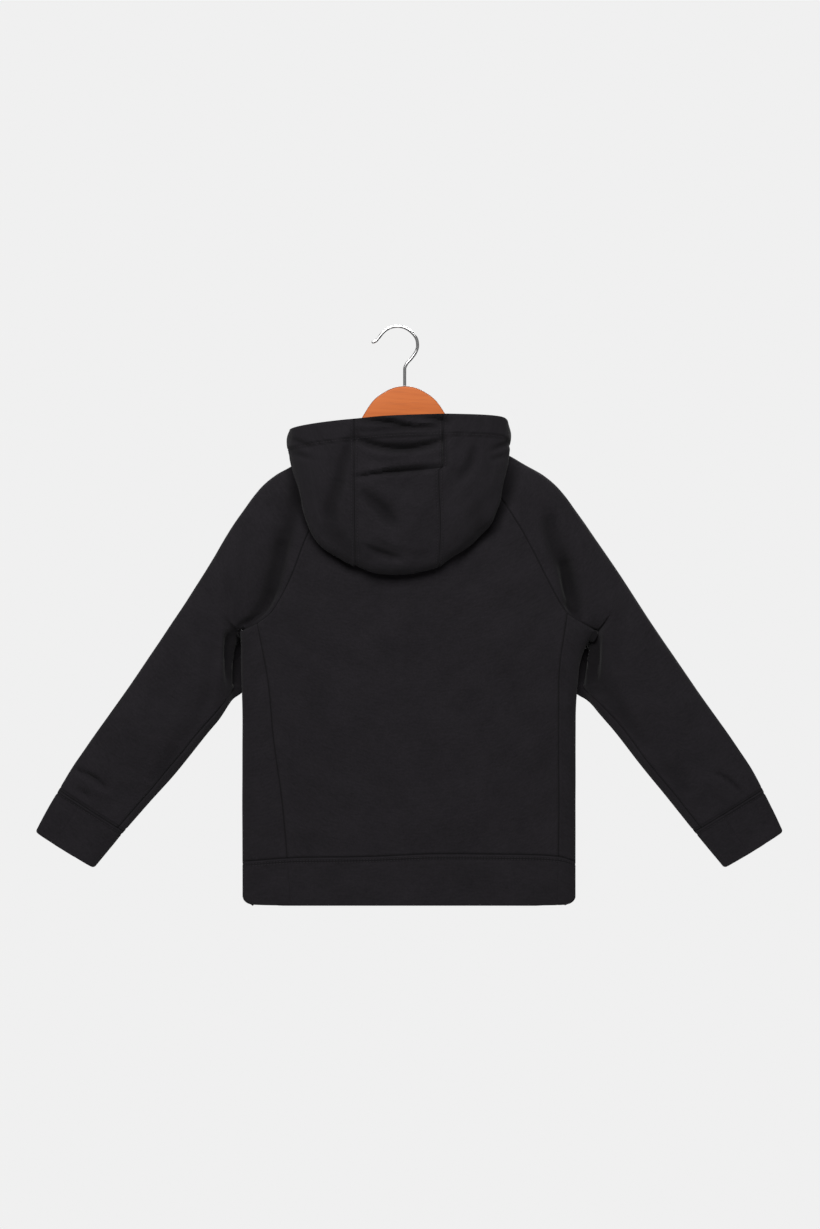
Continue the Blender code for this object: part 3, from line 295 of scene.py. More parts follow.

# %% [markdown]
# Creases are what tell heavy fleece from card. Each is a soft trough, or a ridge where its depth is
# negative, along a slightly bent line. The rows below were placed on the photographed back, and the
# hidden front has a few similar ones. A weak, wide unevenness runs over all cloth, so that no stretch
# is perfectly smooth.

# %% Creases
CREASES = {  # x 0, drop 0, x 1, drop 1, bend, depth, half width
    BACK: (
        (137, 204, 152, 266, 2, 5.5, 8),
        (152, 255, 170, 326, 3, 10, 9),
        (164, 318, 200, 359, 3, 9, 6),
        (176, 334, 203, 352, 2, -2.5, 3.5),
        (180, 240, 196, 320, 3, -2, 10),
        (147, 168, 132, 214, 0, 5, 7),
        (133, 208, 110, 252, 0, 5, 7),
        (112, 248, 70, 289, 4, 4, 7),
        (-129, 166, -112, 214, 0, 6.5, 8),
        (-113, 208, -95, 248, 0, 5.5, 8),
        (-98, 244, -54, 286, -3, 3.6, 7),
        (-166, 225, -186, 294, -3, 5.5, 9),
        (-185, 278, -198, 342, -1, 13, 7),
        (-186, 330, -203, 350, 0, 5, 4),
        (-204, 232, -214, 300, -3, -2, 9),
        (158, 352, 118, 400, 10, 2, 16),
        (-168, 350, -132, 405, -10, 1.8, 15),
        (120, 300, 60, 380, 20, 1, 26),
        (-110, 290, -60, 360, -18, 0.9, 24),
        (-20, 300, 40, 420, 30, -0.8, 34),
        (70, 430, 130, 560, 16, 0.9, 30),
        (-60, 450, -120, 600, -20, 0.9, 30),
        (-10, 470, 10, 610, 14, -0.7, 26),
        (244, 380, 285, 500, 12, 4, 14),
        (232, 400, 268, 470, -6, -1.2, 9),
        (285, 500, 318, 545, 6, 3, 12),
        (262, 330, 318, 440, -10, -1.2, 20),
        (-236, 400, -290, 505, -14, 3.4, 15),
        (-262, 330, -322, 445, 10, -1.2, 20),
        (-300, 500, -340, 560, -8, 2.4, 12),
        (406, 530, 366, 552, 3, 4.2, 3.2),
        (396, 541, 364, 560, -3, -2.4, 5),
        (-366, 533, -400, 560, 3, 4, 3.2),
        (-362, 548, -392, 570, -3, -2.2, 5),
        (404, 552, 384, 566, 2, 3, 3.5),
        (352, 560, 366, 585, 3, 2, 6),
        (-350, 560, -366, 588, -3, 2, 6),
        (420, 565, 398, 580, 2, 1.8, 5),
        (-404, 566, -420, 578, 2, 1.8, 5),
    ),
    FRONT: (
        (150, 250, 186, 340, 6, 1.6, 5),
        (-150, 240, -186, 336, -6, 1.6, 5),
        (60, 230, 120, 330, 14, 1.2, 20),
        (-60, 226, -116, 330, -14, 1.2, 20),
        (120, 380, 60, 470, 14, 1, 26),
        (-118, 390, -50, 480, -14, 1, 26),
        (90, 500, 140, 600, 12, 0.9, 28),
        (-90, 490, -130, 610, -12, 0.9, 28),
        (244, 400, 292, 520, 10, 2, 15),
        (262, 350, 322, 450, -10, -1.2, 20),
        (-244, 400, -290, 510, -10, 2, 15),
        (-270, 350, -326, 450, 10, -1.2, 20),
        (398, 536, 372, 552, 3, 1.5, 5),
        (-374, 540, -398, 560, 3, 1.5, 5),
    ),
}
WAVES = (  # wavelength across, wavelength down, phase, height
    (230, 310, 0.4, 0.55),
    (-140, 190, 2.1, 0.35),
    (90, -260, 4, 0.28),
    (61, 83, 1.2, 0.16),
    (-47, 59, 5.1, 0.12),
)


def crease_relief(x, drop, rows):
    """How far the creases sink the cloth at these places."""
    points = np.stack([x, drop], axis=-1)
    total = np.zeros(x.shape)
    for x_0, drop_0, x_1, drop_1, bend, depth, half_width in rows:
        start, end = np.array([x_0, drop_0]), np.array([x_1, drop_1])
        way = unit(end - start)
        gap, along = gap_to_line(points, start, end)
        straight = (points - start) @ np.array([-way[1], way[0]])
        across = straight - bend * 4 * along * (1 - along)
        beyond = np.sqrt(np.maximum(gap**2 - straight**2, 0.0))
        profile = np.exp(-((across / half_width) ** 2) - (beyond / (1.5 * half_width)) ** 2)
        total += depth * profile * (0.3 + 0.7 * np.sqrt(np.sin(math.pi * along)))
    return total


def unevenness(x, drop):
    total = np.zeros(x.shape)
    for across, down, phase, height in WAVES:
        total += height * np.sin(2 * math.pi * (x / across + drop / down) + phase)
    return total


def cloth_relief(grid, face=None):
    """What sinks the cloth of a body or sleeve panel, from its 3D points.

    A panel that lies on both faces passes from one's creases to the other's round its edge.
    """
    x, drop = grid[..., 0] - CENTRE_X, -grid[..., 2]
    back = crease_relief(x, drop, CREASES[BACK])
    front = crease_relief(x, drop, CREASES[FRONT])
    on_back = ease(grid[..., 1] / 12.0 + 0.5) if face is None else np.full(x.shape, float(face == BACK))
    return on_back * back + (1 - on_back) * front + unevenness(x + 40.0 * on_back, drop)


print(len(CREASES[BACK]), "creases on the back,", len(CREASES[FRONT]), "on the front")

# %% [markdown]
# Every panel ends as the same thing: a grid of points for its outside, a second one a cloth's
# thickness further in, and a strip round the border that closes the shell. At a sewn edge the cloth
# rolls down into the seam, which with painted shade beside it gives the fine dark line between two
# panels, and at a free edge it is rounded as folded cloth. Sunk lines of stitches are cut in by their
# distance from an edge, with painted shade beside them, and deep creases get painted shade too.

# %% Shells of cloth
WALL = 2.2
DOUBLE_WALL = 3.0
SEAM_DEPTH, SEAM_WIDTH = 1.3, 1.2
SEAM_RIDGE, RIDGE_IN = 0.4, 2.88  # the turnings under the cloth raise it beside the seam
SEAM_OVERLAP = 0.3  # neighbouring panels run into each other in the seam, so no light passes
FAINT_SHARE, FAINT_OFFSET = 0.35, 0.75  # a seam pressed flat: its share of the depth, and a shift that makes its line of painted shade fainter
PAINTED_SHADE_FROM, PAINTED_SHADE_OVER = 1.3, 5.5  # from which depth a crease gets painted shade, and how slowly it darkens
FREE_EDGE_CALM, FOLD_CALM, SEAM_FOLD_CALM = 14.0, 9.0, 7.0  # over what length relief fades there
FREE_EDGE_LEAST, FOLD_LEAST = 0.25, 0.2  # the share of a crease that is left
FAR = 99.0  # further than any edge or groove counts
EDGE_THINNING = 0.98  # a free edge keeps a little of its thickness
EDGES = ("top", "bottom", "left", "right")


def outside_out(grid, side):
    """A grid whose outside faces outwards, from one made alike for both sides."""
    return grid if side == RIGHT else grid[:, ::-1]


def fade(gap, reach, least=0.0):
    """From the least share at an edge or fold to 1 at the reach."""
    return least + (1 - least) * ease(gap / reach)


def nearest(fields, shape):
    """The smallest of these distances at each point of a grid."""
    return np.min([np.full(shape, FAR), *fields], axis=0)


def grid_normals(grid):
    return unit(np.cross(np.gradient(grid, axis=0), np.gradient(grid, axis=1)))


def edge_distances(grid):
    """How far each point lies from the grid's four edges, along the cloth."""
    down = np.zeros(grid.shape[:2])
    across = np.zeros(grid.shape[:2])
    down[1:] = np.cumsum(np.linalg.norm(np.diff(grid, axis=0), axis=-1), axis=0)
    across[:, 1:] = np.cumsum(np.linalg.norm(np.diff(grid, axis=1), axis=-1), axis=1)
    return {"top": down, "bottom": down[-1] - down, "left": across, "right": across[:, -1:] - across}


def pull_in(grid, amount, edges):
    """Moves these edges of a grid in by the amount, or out where it is negative."""
    grid = grid.copy()
    where = {"top": np.s_[0, :], "bottom": np.s_[-1, :], "left": np.s_[:, 0], "right": np.s_[:, -1]}
    beside = {"top": np.s_[1, :], "bottom": np.s_[-2, :], "left": np.s_[:, 1], "right": np.s_[:, -2]}
    for edge in edges:
        grid[where[edge]] += amount * unit(grid[beside[edge]] - grid[where[edge]])
    return grid


def mesh_object(name, vertices, faces, material, maps=None, smooth_degrees=50.0):
    """A mesh in the shared frame, from points in millimetres. maps: UV maps, two values a vertex."""
    mesh = bpy.data.meshes.new(name)
    mesh.from_pydata((np.asarray(vertices, float) * MM).tolist(), [], faces)
    mesh.materials.append(material)
    mesh.shade_smooth()
    mesh.set_sharp_from_angle(angle=math.radians(smooth_degrees))
    loops = np.empty(len(mesh.loops), int)
    mesh.loops.foreach_get("vertex_index", loops)
    for map_name, values in (maps or {}).items():
        layer = mesh.uv_layers.new(name=map_name)
        layer.data.foreach_set("uv", np.asarray(values, np.float32)[loops].ravel())
    piece = bpy.data.objects.new(name, mesh)
    bpy.context.scene.collection.objects.link(piece)
    return piece


def quads(index):
    """Faces of a grid of vertex numbers."""
    return np.stack([index[:-1, :-1], index[1:, :-1], index[1:, 1:], index[:-1, 1:]], axis=-1).reshape(-1, 4)


def shell_mesh(name, panel, material):
    """The closed shell of a panel: outside, inside and the strip round the border."""
    outer, inner = panel.outer, panel.inner
    rows, columns = outer.shape[:2]
    outside = np.arange(rows * columns).reshape(rows, columns)
    inside = outside + rows * columns
    rim = np.concatenate([outside[0, :-1], outside[:-1, -1], outside[-1, :0:-1], outside[:0:-1, 0]])
    following = np.roll(rim, -1)
    border = np.stack([rim, following, following + rows * columns, rim + rows * columns], axis=1)
    faces = np.concatenate([quads(outside), quads(inside)[:, ::-1], border])
    maps = {name: np.concatenate([values.reshape(-1, 2)] * 2) for name, values in panel.maps.items()}
    points = np.concatenate([outer.reshape(-1, 3), inner.reshape(-1, 3)])
    return mesh_object(name, points, faces.tolist(), material, maps)


class Panel:
    """A cloth panel, made from a grid of points on the garment's form.

    sewn names the edges that a seam takes up, and faint those whose seam is pressed flat. relief
    is how far each point sinks. Each groove is (edge, distance from it, depth, width). A panel
    that is part of a larger grid is given that grid's normals.
    """

    def __init__(self, name, grid, wall=WALL, sewn=EDGES, relief=0.0, grooves=(), faint=(), normals=None):
        self.name = name
        shape = grid.shape[:2]
        free = [edge for edge in EDGES if edge not in sewn]
        grid = pull_in(grid, -SEAM_OVERLAP / 2, sewn)
        from_middle = np.abs(grid[..., 1])
        self.normals = grid_normals(grid) if normals is None else normals
        self.gaps = edge_distances(grid)

        # Creases run on across a seam. They fade out towards a free edge and round a folded one.
        to_free = nearest([self.gaps[edge] for edge in free], shape)
        sink = relief * fade(to_free, FREE_EDGE_CALM, FREE_EDGE_LEAST)
        # Painted shade: a crease that sinks deep enough darkens the cloth's colour, more the deeper it is.
        hollow = 1 - np.exp(-np.maximum(sink - PAINTED_SHADE_FROM, 0.0) / PAINTED_SHADE_OVER)
        self.base = grid - (sink * fade(from_middle, FOLD_CALM, FOLD_LEAST))[..., None] * self.normals

        dip = np.zeros(shape)
        for edge in sewn:
            share = FAINT_SHARE if edge in faint else 1.0
            from_ridge = self.gaps[edge] - RIDGE_IN
            dip += share * SEAM_DEPTH * np.exp(-((self.gaps[edge] / SEAM_WIDTH) ** 2))
            dip -= share * SEAM_RIDGE * np.exp(-((from_ridge / SEAM_WIDTH) ** 2))
        # On the garment's folded edges a seam lies flat, so the outline has no notch there.
        dip *= fade(from_middle, SEAM_FOLD_CALM)
        for edge, inset, depth, width in grooves:
            dip += depth * np.exp(-(((self.gaps[edge] - inset) / width) ** 2))
        lift = np.zeros(shape)
        for edge in free:
            round_off = wall / 2 * (1 - fold(self.gaps[edge] / (wall / 2)))
            dip, lift = np.maximum(dip, round_off), np.maximum(lift, round_off)
        self.outer = self.base - dip[..., None] * self.normals
        self.inner = self.base - (wall - lift * EDGE_THINNING)[..., None] * self.normals

        # The maps carry the cut's coordinates, the distances that place painted shade beside seams and rows
        # of stitches, and the share of painted shade in deep creases.
        seam = nearest([self.gaps[edge] + FAINT_OFFSET * (edge in faint) for edge in sewn], shape)
        line = nearest([abs(self.gaps[edge] - inset) for edge, inset, _, _ in grooves], shape)
        self.maps = {
            "cut": np.stack([self.gaps["left"], self.gaps["top"]], axis=-1) * MM,
            "seam": np.stack([seam, line], axis=-1) * MM,
            "hollow": np.stack([hollow, np.zeros(shape)], axis=-1),
        }

    def area(self):
        """The outside's area in square metres."""
        down, across = np.diff(self.base, axis=0)[:, :-1], np.diff(self.base, axis=1)[:-1]
        return float(np.linalg.norm(np.cross(down, across), axis=-1).sum()) * MM * MM

    def border(self):
        """How long the border is, in millimetres."""
        rims = self.base[0], self.base[-1], self.base[:, 0], self.base[:, -1]
        return float(sum(lengths(rim)[-1] for rim in rims))

    def line(self, edge, inset):
        """A line on the outside at this distance from an edge, and the normals along it."""
        across = edge in ("left", "right")
        gaps = self.gaps[edge] if across else self.gaps[edge].T
        points = self.outer if across else self.outer.swapaxes(0, 1)
        normals = self.normals if across else self.normals.swapaxes(0, 1)
        found = []
        for gap, row, normal in zip(gaps, points, normals):
            order = slice(None) if gap[0] < gap[-1] else slice(None, None, -1)
            columns = [np.interp(inset, gap[order], column[order]) for column in (*row.T, *normal.T)]
            found.append(columns)
        found = np.array(found)
        return found[:, :3], unit(found[:, 3:])


print("a seam sinks", SEAM_DEPTH, "mm over", SEAM_WIDTH, "mm on each side")

# %% [markdown]
# Brushed fleece looks flat black from afar, but it is a fine knit: columns of small V stitches,
# faint sideways streaks where the yarn varies, and a soft bloom of fibres. The colour and bump are
# worked out from the cut's own coordinates in metres, so the knit follows each panel's grain. A
# small class lets sockets be added and multiplied like numbers, and one method makes other nodes.
# The colour also carries painted shade beside seams and rows of stitches and in deep creases.

# %% A shader in plain sums
class Wire:
    """A node's output, which Python sums turn into Math nodes."""

    def __init__(self, shader, socket):
        self.shader, self.socket = shader, socket

    def math(self, operation, *values):
        inputs = dict(enumerate((self, *values)))
        return self.shader.node("ShaderNodeMath", {"operation": operation}, inputs)

    def __add__(self, other):
        return self.math("ADD", other)

    def __mul__(self, other):
        return self.math("MULTIPLY", other)

    def __sub__(self, other):
        return self.math("SUBTRACT", other)

    def __rsub__(self, other):
        return self.math("MULTIPLY_ADD", -1.0, other)

    def __truediv__(self, other):
        return self.math("DIVIDE", other)

    __radd__, __rmul__ = __add__, __mul__


class Finish:
    """A material: constants go on its Principled shader, and what varies is linked to it."""

    def __init__(self, name, constants):
        self.material = bpy.data.materials.new(name)
        self.material.use_nodes = True
        self.tree = self.material.node_tree
        self.surface = self.tree.nodes["Principled BSDF"]
        for socket, value in constants.items():
            self.surface.inputs[socket].default_value = value

    def node(self, kind, settings, inputs, output=0):
        made = self.tree.nodes.new(kind)
        for name, value in settings.items():
            setattr(made, name, value)
        for socket, value in inputs.items():
            if isinstance(value, Wire):
                self.tree.links.new(value.socket, made.inputs[socket])
            else:
                made.inputs[socket].default_value = value
        return Wire(self, made.outputs[output])

    def feed(self, socket, wire):
        self.tree.links.new(wire.socket, self.surface.inputs[socket])

    def parts(self, vector):
        """The X, Y and Z of a vector."""
        split = self.node("ShaderNodeSeparateXYZ", {}, {"Vector": vector}).socket.node
        return [Wire(self, output) for output in split.outputs]

    def panel_map(self, name):
        """The two values that a panel's UV map of this name gives."""
        return self.parts(self.node("ShaderNodeUVMap", {"uv_map": name}, {}))[:2]

    def object_place(self):
        return self.node("ShaderNodeTexCoord", {}, {}, output="Object")

    def speckle(self, scale, detail):
        """Noise through the solid itself, for hard pieces."""
        inputs = {"Vector": self.object_place(), "Scale": scale, "Detail": detail}
        return self.node("ShaderNodeTexNoise", {}, inputs)

    def noise(self, x, y, z, detail=2.0, roughness=0.5):
        place = self.node("ShaderNodeCombineXYZ", {}, {"X": x, "Y": y, "Z": z})
        inputs = {"Vector": place, "Scale": 1.0, "Detail": detail, "Roughness": roughness}
        return self.node("ShaderNodeTexNoise", {}, inputs)

    def mix(self, factor, first, second):
        inputs = {"Factor": factor, 6: first, 7: second}
        return self.node("ShaderNodeMix", {"data_type": "RGBA"}, inputs, output=2)

    def bump(self, height, strength, distance):
        inputs = {"Strength": strength, "Distance": distance, "Height": height}
        self.feed("Normal", self.node("ShaderNodeBump", {}, inputs))


def grey(value, tint=(1.0, 1.0, 1.0)):
    return (*(value * part for part in tint), 1.0)


# %% Fleece, thread and tape
WALE = 1.1 * MM  # width of a column of stitches
COURSE = 0.85 * MM  # height of a stitch
TAPE_WARP, TAPE_WEFT = 0.9 * MM, 0.6 * MM
INK = (1.02, 0.9, 1.08)  # the dye leans a little to purple
# FLEECE_SHADED is the colour of painted shade
FLEECE_DARK, FLEECE_LIGHT, FLEECE_SHADED = grey(0.0066, INK), grey(0.0172, INK), grey(0.003, INK)
SEAM_SHADOW, STITCH_SHADOW = 1.3 * MM, 1.5 * MM  # how far from a seam or a row of stitches painted shade darkens the cloth
SEAM_SHADE, STITCH_SHADE, HOLLOW_SHADE = 0.9, 0.6, 0.85  # how dark the painted shade at these and in a deep crease gets
KNIT_BUMP, TAPE_BUMP = 0.25 * MM, 0.15 * MM


def fleece():
    cloth = Finish("fleece", {
        "Roughness": 0.92, "Sheen Weight": 0.05, "Sheen Roughness": 0.5, "Specular IOR Level": 0.12,
    })
    across, down = cloth.panel_map("cut")
    streaks = cloth.noise(across * 90.0, down * 420.0, 0.0, detail=3.0)
    fluff = cloth.noise(across * 420.0, down * 480.0, 1.3)
    patches = cloth.noise(across * 26.0, down * 34.0, 3.7)
    mottle = streaks * 0.3 + patches * 0.3 + fluff * 0.4
    dyed = cloth.mix((mottle - 0.5) * 1.9 + 0.5, FLEECE_DARK, FLEECE_LIGHT)
    # Painted shade: beside seams and rows of stitches and in deep creases the colour is mixed towards the
    # shaded one.
    from_seam, from_line = cloth.panel_map("seam")
    painted_seam_shade = (1.0 - from_seam / SEAM_SHADOW).math("MAXIMUM", 0.0) * SEAM_SHADE
    # painted shade beside a row of stitches
    painted_stitch_shade = (1.0 - from_line / STITCH_SHADOW).math("MAXIMUM", 0.0) * STITCH_SHADE
    # painted shade in deep creases
    painted_crease_shade = cloth.panel_map("hollow")[0] * HOLLOW_SHADE
    shade = painted_seam_shade.math("MAXIMUM", painted_stitch_shade).math("MAXIMUM", painted_crease_shade)
    cloth.feed("Base Color", cloth.mix(shade, dyed, FLEECE_SHADED))
    column = (across / WALE).math("PINGPONG", 0.5) * 2.0
    stitch = (down / COURSE + column * 0.45).math("PINGPONG", 0.5) * 2.0
    fibres = cloth.noise(across * 2600.0, down * 2600.0, 0.0, detail=3.0, roughness=0.7)
    cloth.bump(column * 0.35 + stitch * 0.3 + fibres * 0.6 + streaks * 0.5, 0.5, KNIT_BUMP)
    return cloth.material


def twisted_thread():
    thread = Finish("thread", {"Roughness": 0.7, "Specular IOR Level": 0.25})
    strands = thread.speckle(2400.0, 2.0)
    thread.feed("Base Color", thread.mix(strands, grey(0.011, INK), grey(0.024, INK)))
    return thread.material


def woven_tape():
    tape = Finish("zip_tape", {"Roughness": 0.75, "Sheen Weight": 0.05})
    across, down = tape.panel_map("cut")
    over = (across / TAPE_WARP).math("PINGPONG", 0.5) * 2.0
    ribs = (down / TAPE_WEFT + over * 0.5).math("PINGPONG", 0.5) * 2.0
    tape.feed("Base Color", tape.mix(ribs, grey(0.009), grey(0.02)))
    tape.bump(ribs, 0.4, TAPE_BUMP)
    return tape.material


FLEECE, THREAD, TAPE = fleece(), twisted_thread(), woven_tape()
print("made", FLEECE.name, THREAD.name, TAPE.name)

# %% [markdown]
# Each piece is finished by giving it to the body it moves with, in the place of the CAD node that it
# stands for, which is hidden. For a cloth panel the size that it was cut to is also worked out and
# printed: its widest and longest lines with a turning on every edge. The cut is rarely a rectangle,
# so its area is printed as well.

# %% Finishing a piece
TURNING = 4.0
MOST_SPARE = 2.5  # how much larger than its area a cut's rectangle may be


def stand_for(piece, node, body="garment"):
    """Makes a piece ride on a body in the place of a CAD node."""
    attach(piece, body)
    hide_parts(node)


def cloth_piece(panel, stitches=()):
    """Makes a panel's shell, which stands for the CAD node of its name without _cloth.

    A strongly curved panel's longest lines don't cross squarely, so its rectangle is kept to a
    multiple of its area.
    """
    piece = shell_mesh(f"{panel.name}_cloth", panel, FLEECE)
    stand_for(piece, panel.name)
    width, length = ((float(panel.gaps[edge].max()) + 2 * TURNING) * MM for edge in ("left", "top"))
    area = panel.area() + TURNING * panel.border() * MM * MM
    flat = (round(min(width, MOST_SPARE * area / length), 3), round(length, 3))
    area = min(area, flat[0] * flat[1])
    triangles = sum(len(face.vertices) - 2 for face in piece.data.polygons)
    print(f"{panel.name}: {area:.3f} m2 in a cut of {flat[0]} x {flat[1]} m, {triangles} triangles")


# %% [markdown]
# Topstitching is a row of short thread loops lying in a shallow groove. Each stitch here is a small
# tube whose ends dip into the cloth, repeated along a line that is read from the panel itself. All
# stitches of one line are one mesh, which keeps the count of objects low.

# %% Rows of stitches
STITCH, STITCH_GAP = 2.9, 0.7
THREAD_RADIUS, THREAD_SIDES = 0.26, 6
STITCH_RINGS = (  # share of the stitch's length, height over the cloth, share of the thread's radius
    (0.0, -0.30, 0.55),
    (0.12, 0.05, 0.9),
    (0.5, 0.16, 1.0),
    (0.88, 0.05, 0.9),
    (1.0, -0.30, 0.55),
)


def stitch_row(line, normals):
    """Points of a row of stitches, as (stitches, rings, sides, 3)."""
    along = lengths(line)
    count = max(int(along[-1] // (STITCH + STITCH_GAP)), 1)
    starts = (np.arange(count) + 0.5) * along[-1] / count - STITCH / 2
    shares, heights, sizes = np.array(STITCH_RINGS).T
    places = starts[:, None] + shares * STITCH
    middle = np.stack([np.interp(places, along, column) for column in line.T], axis=-1)
    up = unit(np.stack([np.interp(places, along, column) for column in normals.T], axis=-1))
    way = unit(np.gradient(middle, axis=1))
    side = unit(np.cross(way, up))
    angles = np.arange(THREAD_SIDES) * 2 * math.pi / THREAD_SIDES
    ring = side[:, :, None] * np.cos(angles)[:, None] + up[:, :, None] * np.sin(angles)[:, None]
    middle = middle + heights[:, None] * up
    return middle[:, :, None] + THREAD_RADIUS * sizes[:, None, None] * ring


def stitching(name, rows):
    """One mesh of all the stitches in these rows, each a line on the cloth and its normals."""
    rings = np.concatenate([stitch_row(line, normals) for line, normals in rows])
    count, around, sides = rings.shape[:3]
    index = np.arange(count * around * sides).reshape(count, around, sides)
    following = np.roll(index, -1, axis=2)
    walls = np.stack([index[:, :-1], following[:, :-1], following[:, 1:], index[:, 1:]], axis=-1)
    ends = np.concatenate([index[:, 0, ::-1], index[:, -1]])
    faces = walls.reshape(-1, 4).tolist() + ends.tolist()
    piece = mesh_object(name, rings.reshape(-1, 3), faces, THREAD)
    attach(piece, "garment")
    print(f"{name}: {count} stitches")
    return piece


# %% [markdown]
# The raglan seams run from the neck to under the arm. The lower part of each belongs to a side
# panel, which wraps round the side edge, so a panel's corner lies on the seam. The photographed
# seams differ on the two sides, and the tables keep that.

# %% Seams of the body
RAGLAN = {  # drop, out, turn
    BACK: (
        (254, 132.5, 8),
        (304, 155, 11),
        (330, 169, 11),
        (342, 177, 11),
        (353, 193, 12.5),
    ),
    FRONT: (
        (254, 105, 0),
        (304, 138, 0),
        (335, 164, 1),
        (352, 188, 6),
    ),
}
RAGLAN_NECK = {BACK: 66, FRONT: 134.0}  # degrees round the neck from the back's centre
PANEL_CORNER = {(LEFT, BACK): 354, (RIGHT, BACK): 342.5, (LEFT, FRONT): 347, (RIGHT, FRONT): 347.0}
SIDE_SEAM = {  # drop, out, turn
    BACK: (
        (425, 173.8, 4.8),
        (493, 170.5, 8),
        (562, 166, 13),
        (692.6, 159.5, 17.5),
    ),
    FRONT: (
        (425, 175, -2),
        (493, 171, -8),
        (562, 166, -13),
        (692.6, 159.5, -17.5),
    ),
}


def neck_plan(side, degrees):
    """The neck seam, from the back's centre (0 degrees) over the shoulder (90) to the front (180)."""
    angle = np.radians(degrees)
    low = np.where(np.cos(angle) >= 0, NECK_BACK_DROP, NECK_FRONT_DROP) - SHOULDER_POINT[1]
    x = side * SHOULDER_POINT[0] * np.sin(angle)
    return np.stack([x, SHOULDER_POINT[1] + low * np.abs(np.cos(angle))], axis=-1)


def raglan_seam(side, face):
    """The seam from the neck to the panel's corner, and from there to under the arm."""
    knots = [neck_plan(side, np.array(RAGLAN_NECK[face]))]
    knots += [(side * (out - side * turn), drop) for drop, out, turn in RAGLAN[face]]
    knots.append((side * side_edge(side, UNDERARM_DROP), UNDERARM_DROP))
    line = spread(knots, 600)
    corner = int(np.searchsorted(line[:, 1], PANEL_CORNER[side, face]))
    return line[:corner + 1], line[corner:]


def side_seam(side, face, drops):
    """The side panel's seam at these drops, from the raglan corner down."""
    corner = raglan_seam(side, face)[0][-1]
    knots = [(corner[1], side * corner[0])]
    knots += [(drop, out - side * turn) for drop, out, turn in SIDE_SEAM[face]]
    return np.stack([side * read(knots, drops, 1), drops], axis=-1)


def side_seam_to_band(side, face):
    top = raglan_seam(side, face)[0][-1][1]
    low = band_seam_drop(side_seam(side, face, np.array([BAND_DROP]))[0, 0])
    return side_seam(side, face, np.linspace(top, low, 200))


def fill(top, bottom, left, right, across, down):
    """A grid in plan between four edges, with columns and rows at these shares."""
    top, bottom = resample(top, across), resample(bottom, across)
    left, right = resample(left, down), resample(right, down)
    u, v = across[None, :, None], down[:, None, None]
    corners = (1 - v) * ((1 - u) * top[0] + u * top[-1]) + v * ((1 - u) * bottom[0] + u * bottom[-1])
    return (1 - v) * top[None] + v * bottom[None] + (1 - u) * left[:, None] + u * right[:, None] - corners


def seam_of_band(x_0, x_1):
    x = np.linspace(x_0, x_1, 60)
    return np.stack([x, band_seam_drop(x)], axis=-1)


print("raglan corner on the left of the back:", np.round(raglan_seam(LEFT, BACK)[0][-1], 1))

# %% [markdown]
# The back, the fronts and the side panels are filled in flat, as a cutter would draw them, and then
# laid on the garment's form. Columns and rows come closer together towards the sewn edges, where the
# cloth rolls into the seam.

# %% Back and fronts
CELL = 3.0  # a panel's cells across
LONG_CELL = CELL * 1.1  # and down
BACK_SIZE, FRONT_SIZE = (340.0, 480.0), (165.0, 430.0)  # across and down, to count the cells
ZIP_HALF_OPEN = 3.6
ZIP_STITCH_IN = 6.0
ZIP_EDGE = {LEFT: "left", RIGHT: "right"}  # the edge of a front, or of its band, that the zip takes


def border_line(side, face):
    """Down the raglan seam to its corner, then down the side seam."""
    return np.concatenate([raglan_seam(side, face)[0], side_seam_to_band(side, face)[1:]])


def cells(size):
    """Where a panel's columns and rows lie, as shares of its size across and down."""
    return steps(size[0], CELL), steps(size[1], LONG_CELL)


def neck_line(degrees):
    return np.array([neck_plan(LEFT if angle >= 0 else RIGHT, abs(angle)) for angle in degrees])


def back_panel():
    left, right = border_line(LEFT, BACK), border_line(RIGHT, BACK)
    top = neck_line(np.linspace(RAGLAN_NECK[BACK], -RAGLAN_NECK[BACK], 80))
    bottom = seam_of_band(left[-1][0], right[-1][0])
    plan = fill(top, bottom, left, right, *cells(BACK_SIZE))
    grid = on_garment(plan, BACK)
    return Panel("back", grid, relief=cloth_relief(grid, BACK))


def zip_groove(side):
    return ZIP_EDGE[side], ZIP_STITCH_IN, 0.35, 0.7


def front_panel(side, word):
    outer = border_line(side, FRONT)
    top = neck_plan(side, np.linspace(RAGLAN_NECK[FRONT], 180.0, 60))
    corner = abs(top[0, 0])
    top[:, 0] = side * (ZIP_HALF_OPEN + np.abs(top[:, 0]) * (corner - ZIP_HALF_OPEN) / corner)
    inner_drop = np.linspace(top[-1, 1], band_seam_drop(side * ZIP_HALF_OPEN), 60)
    inner = np.stack([np.full(60, side * ZIP_HALF_OPEN), inner_drop], axis=-1)
    bottom = seam_of_band(outer[-1][0], side * ZIP_HALF_OPEN)
    plan = fill(top, bottom, outer, inner, steps(FRONT_SIZE[0], CELL), steps(FRONT_SIZE[1], CELL * 1.2))
    grid = outside_out(on_garment(plan, FRONT), side)
    sewn = tuple(edge for edge in EDGES if edge != ZIP_EDGE[side])
    relief = cloth_relief(grid, FRONT)
    return Panel(f"front_{word}", grid, sewn=sewn, relief=relief, grooves=[zip_groove(side)])


cloth_piece(back_panel())
for side, word in SIDES:
    panel = front_panel(side, word)
    stitches = stitching(f"zip_stitches_{word}", [panel.line(ZIP_EDGE[side], ZIP_STITCH_IN)])
    cloth_piece(panel, [stitches])

# %% [markdown]
# A side panel wraps round the garment's edge, so there is no seam under the arm's line. Its two
# halves are filled in separately and meet on the edge, with columns spaced as on a quarter circle.

# %% Side panels
SIDE_SIZE = (60.0, 290.0)  # half of it across, and down


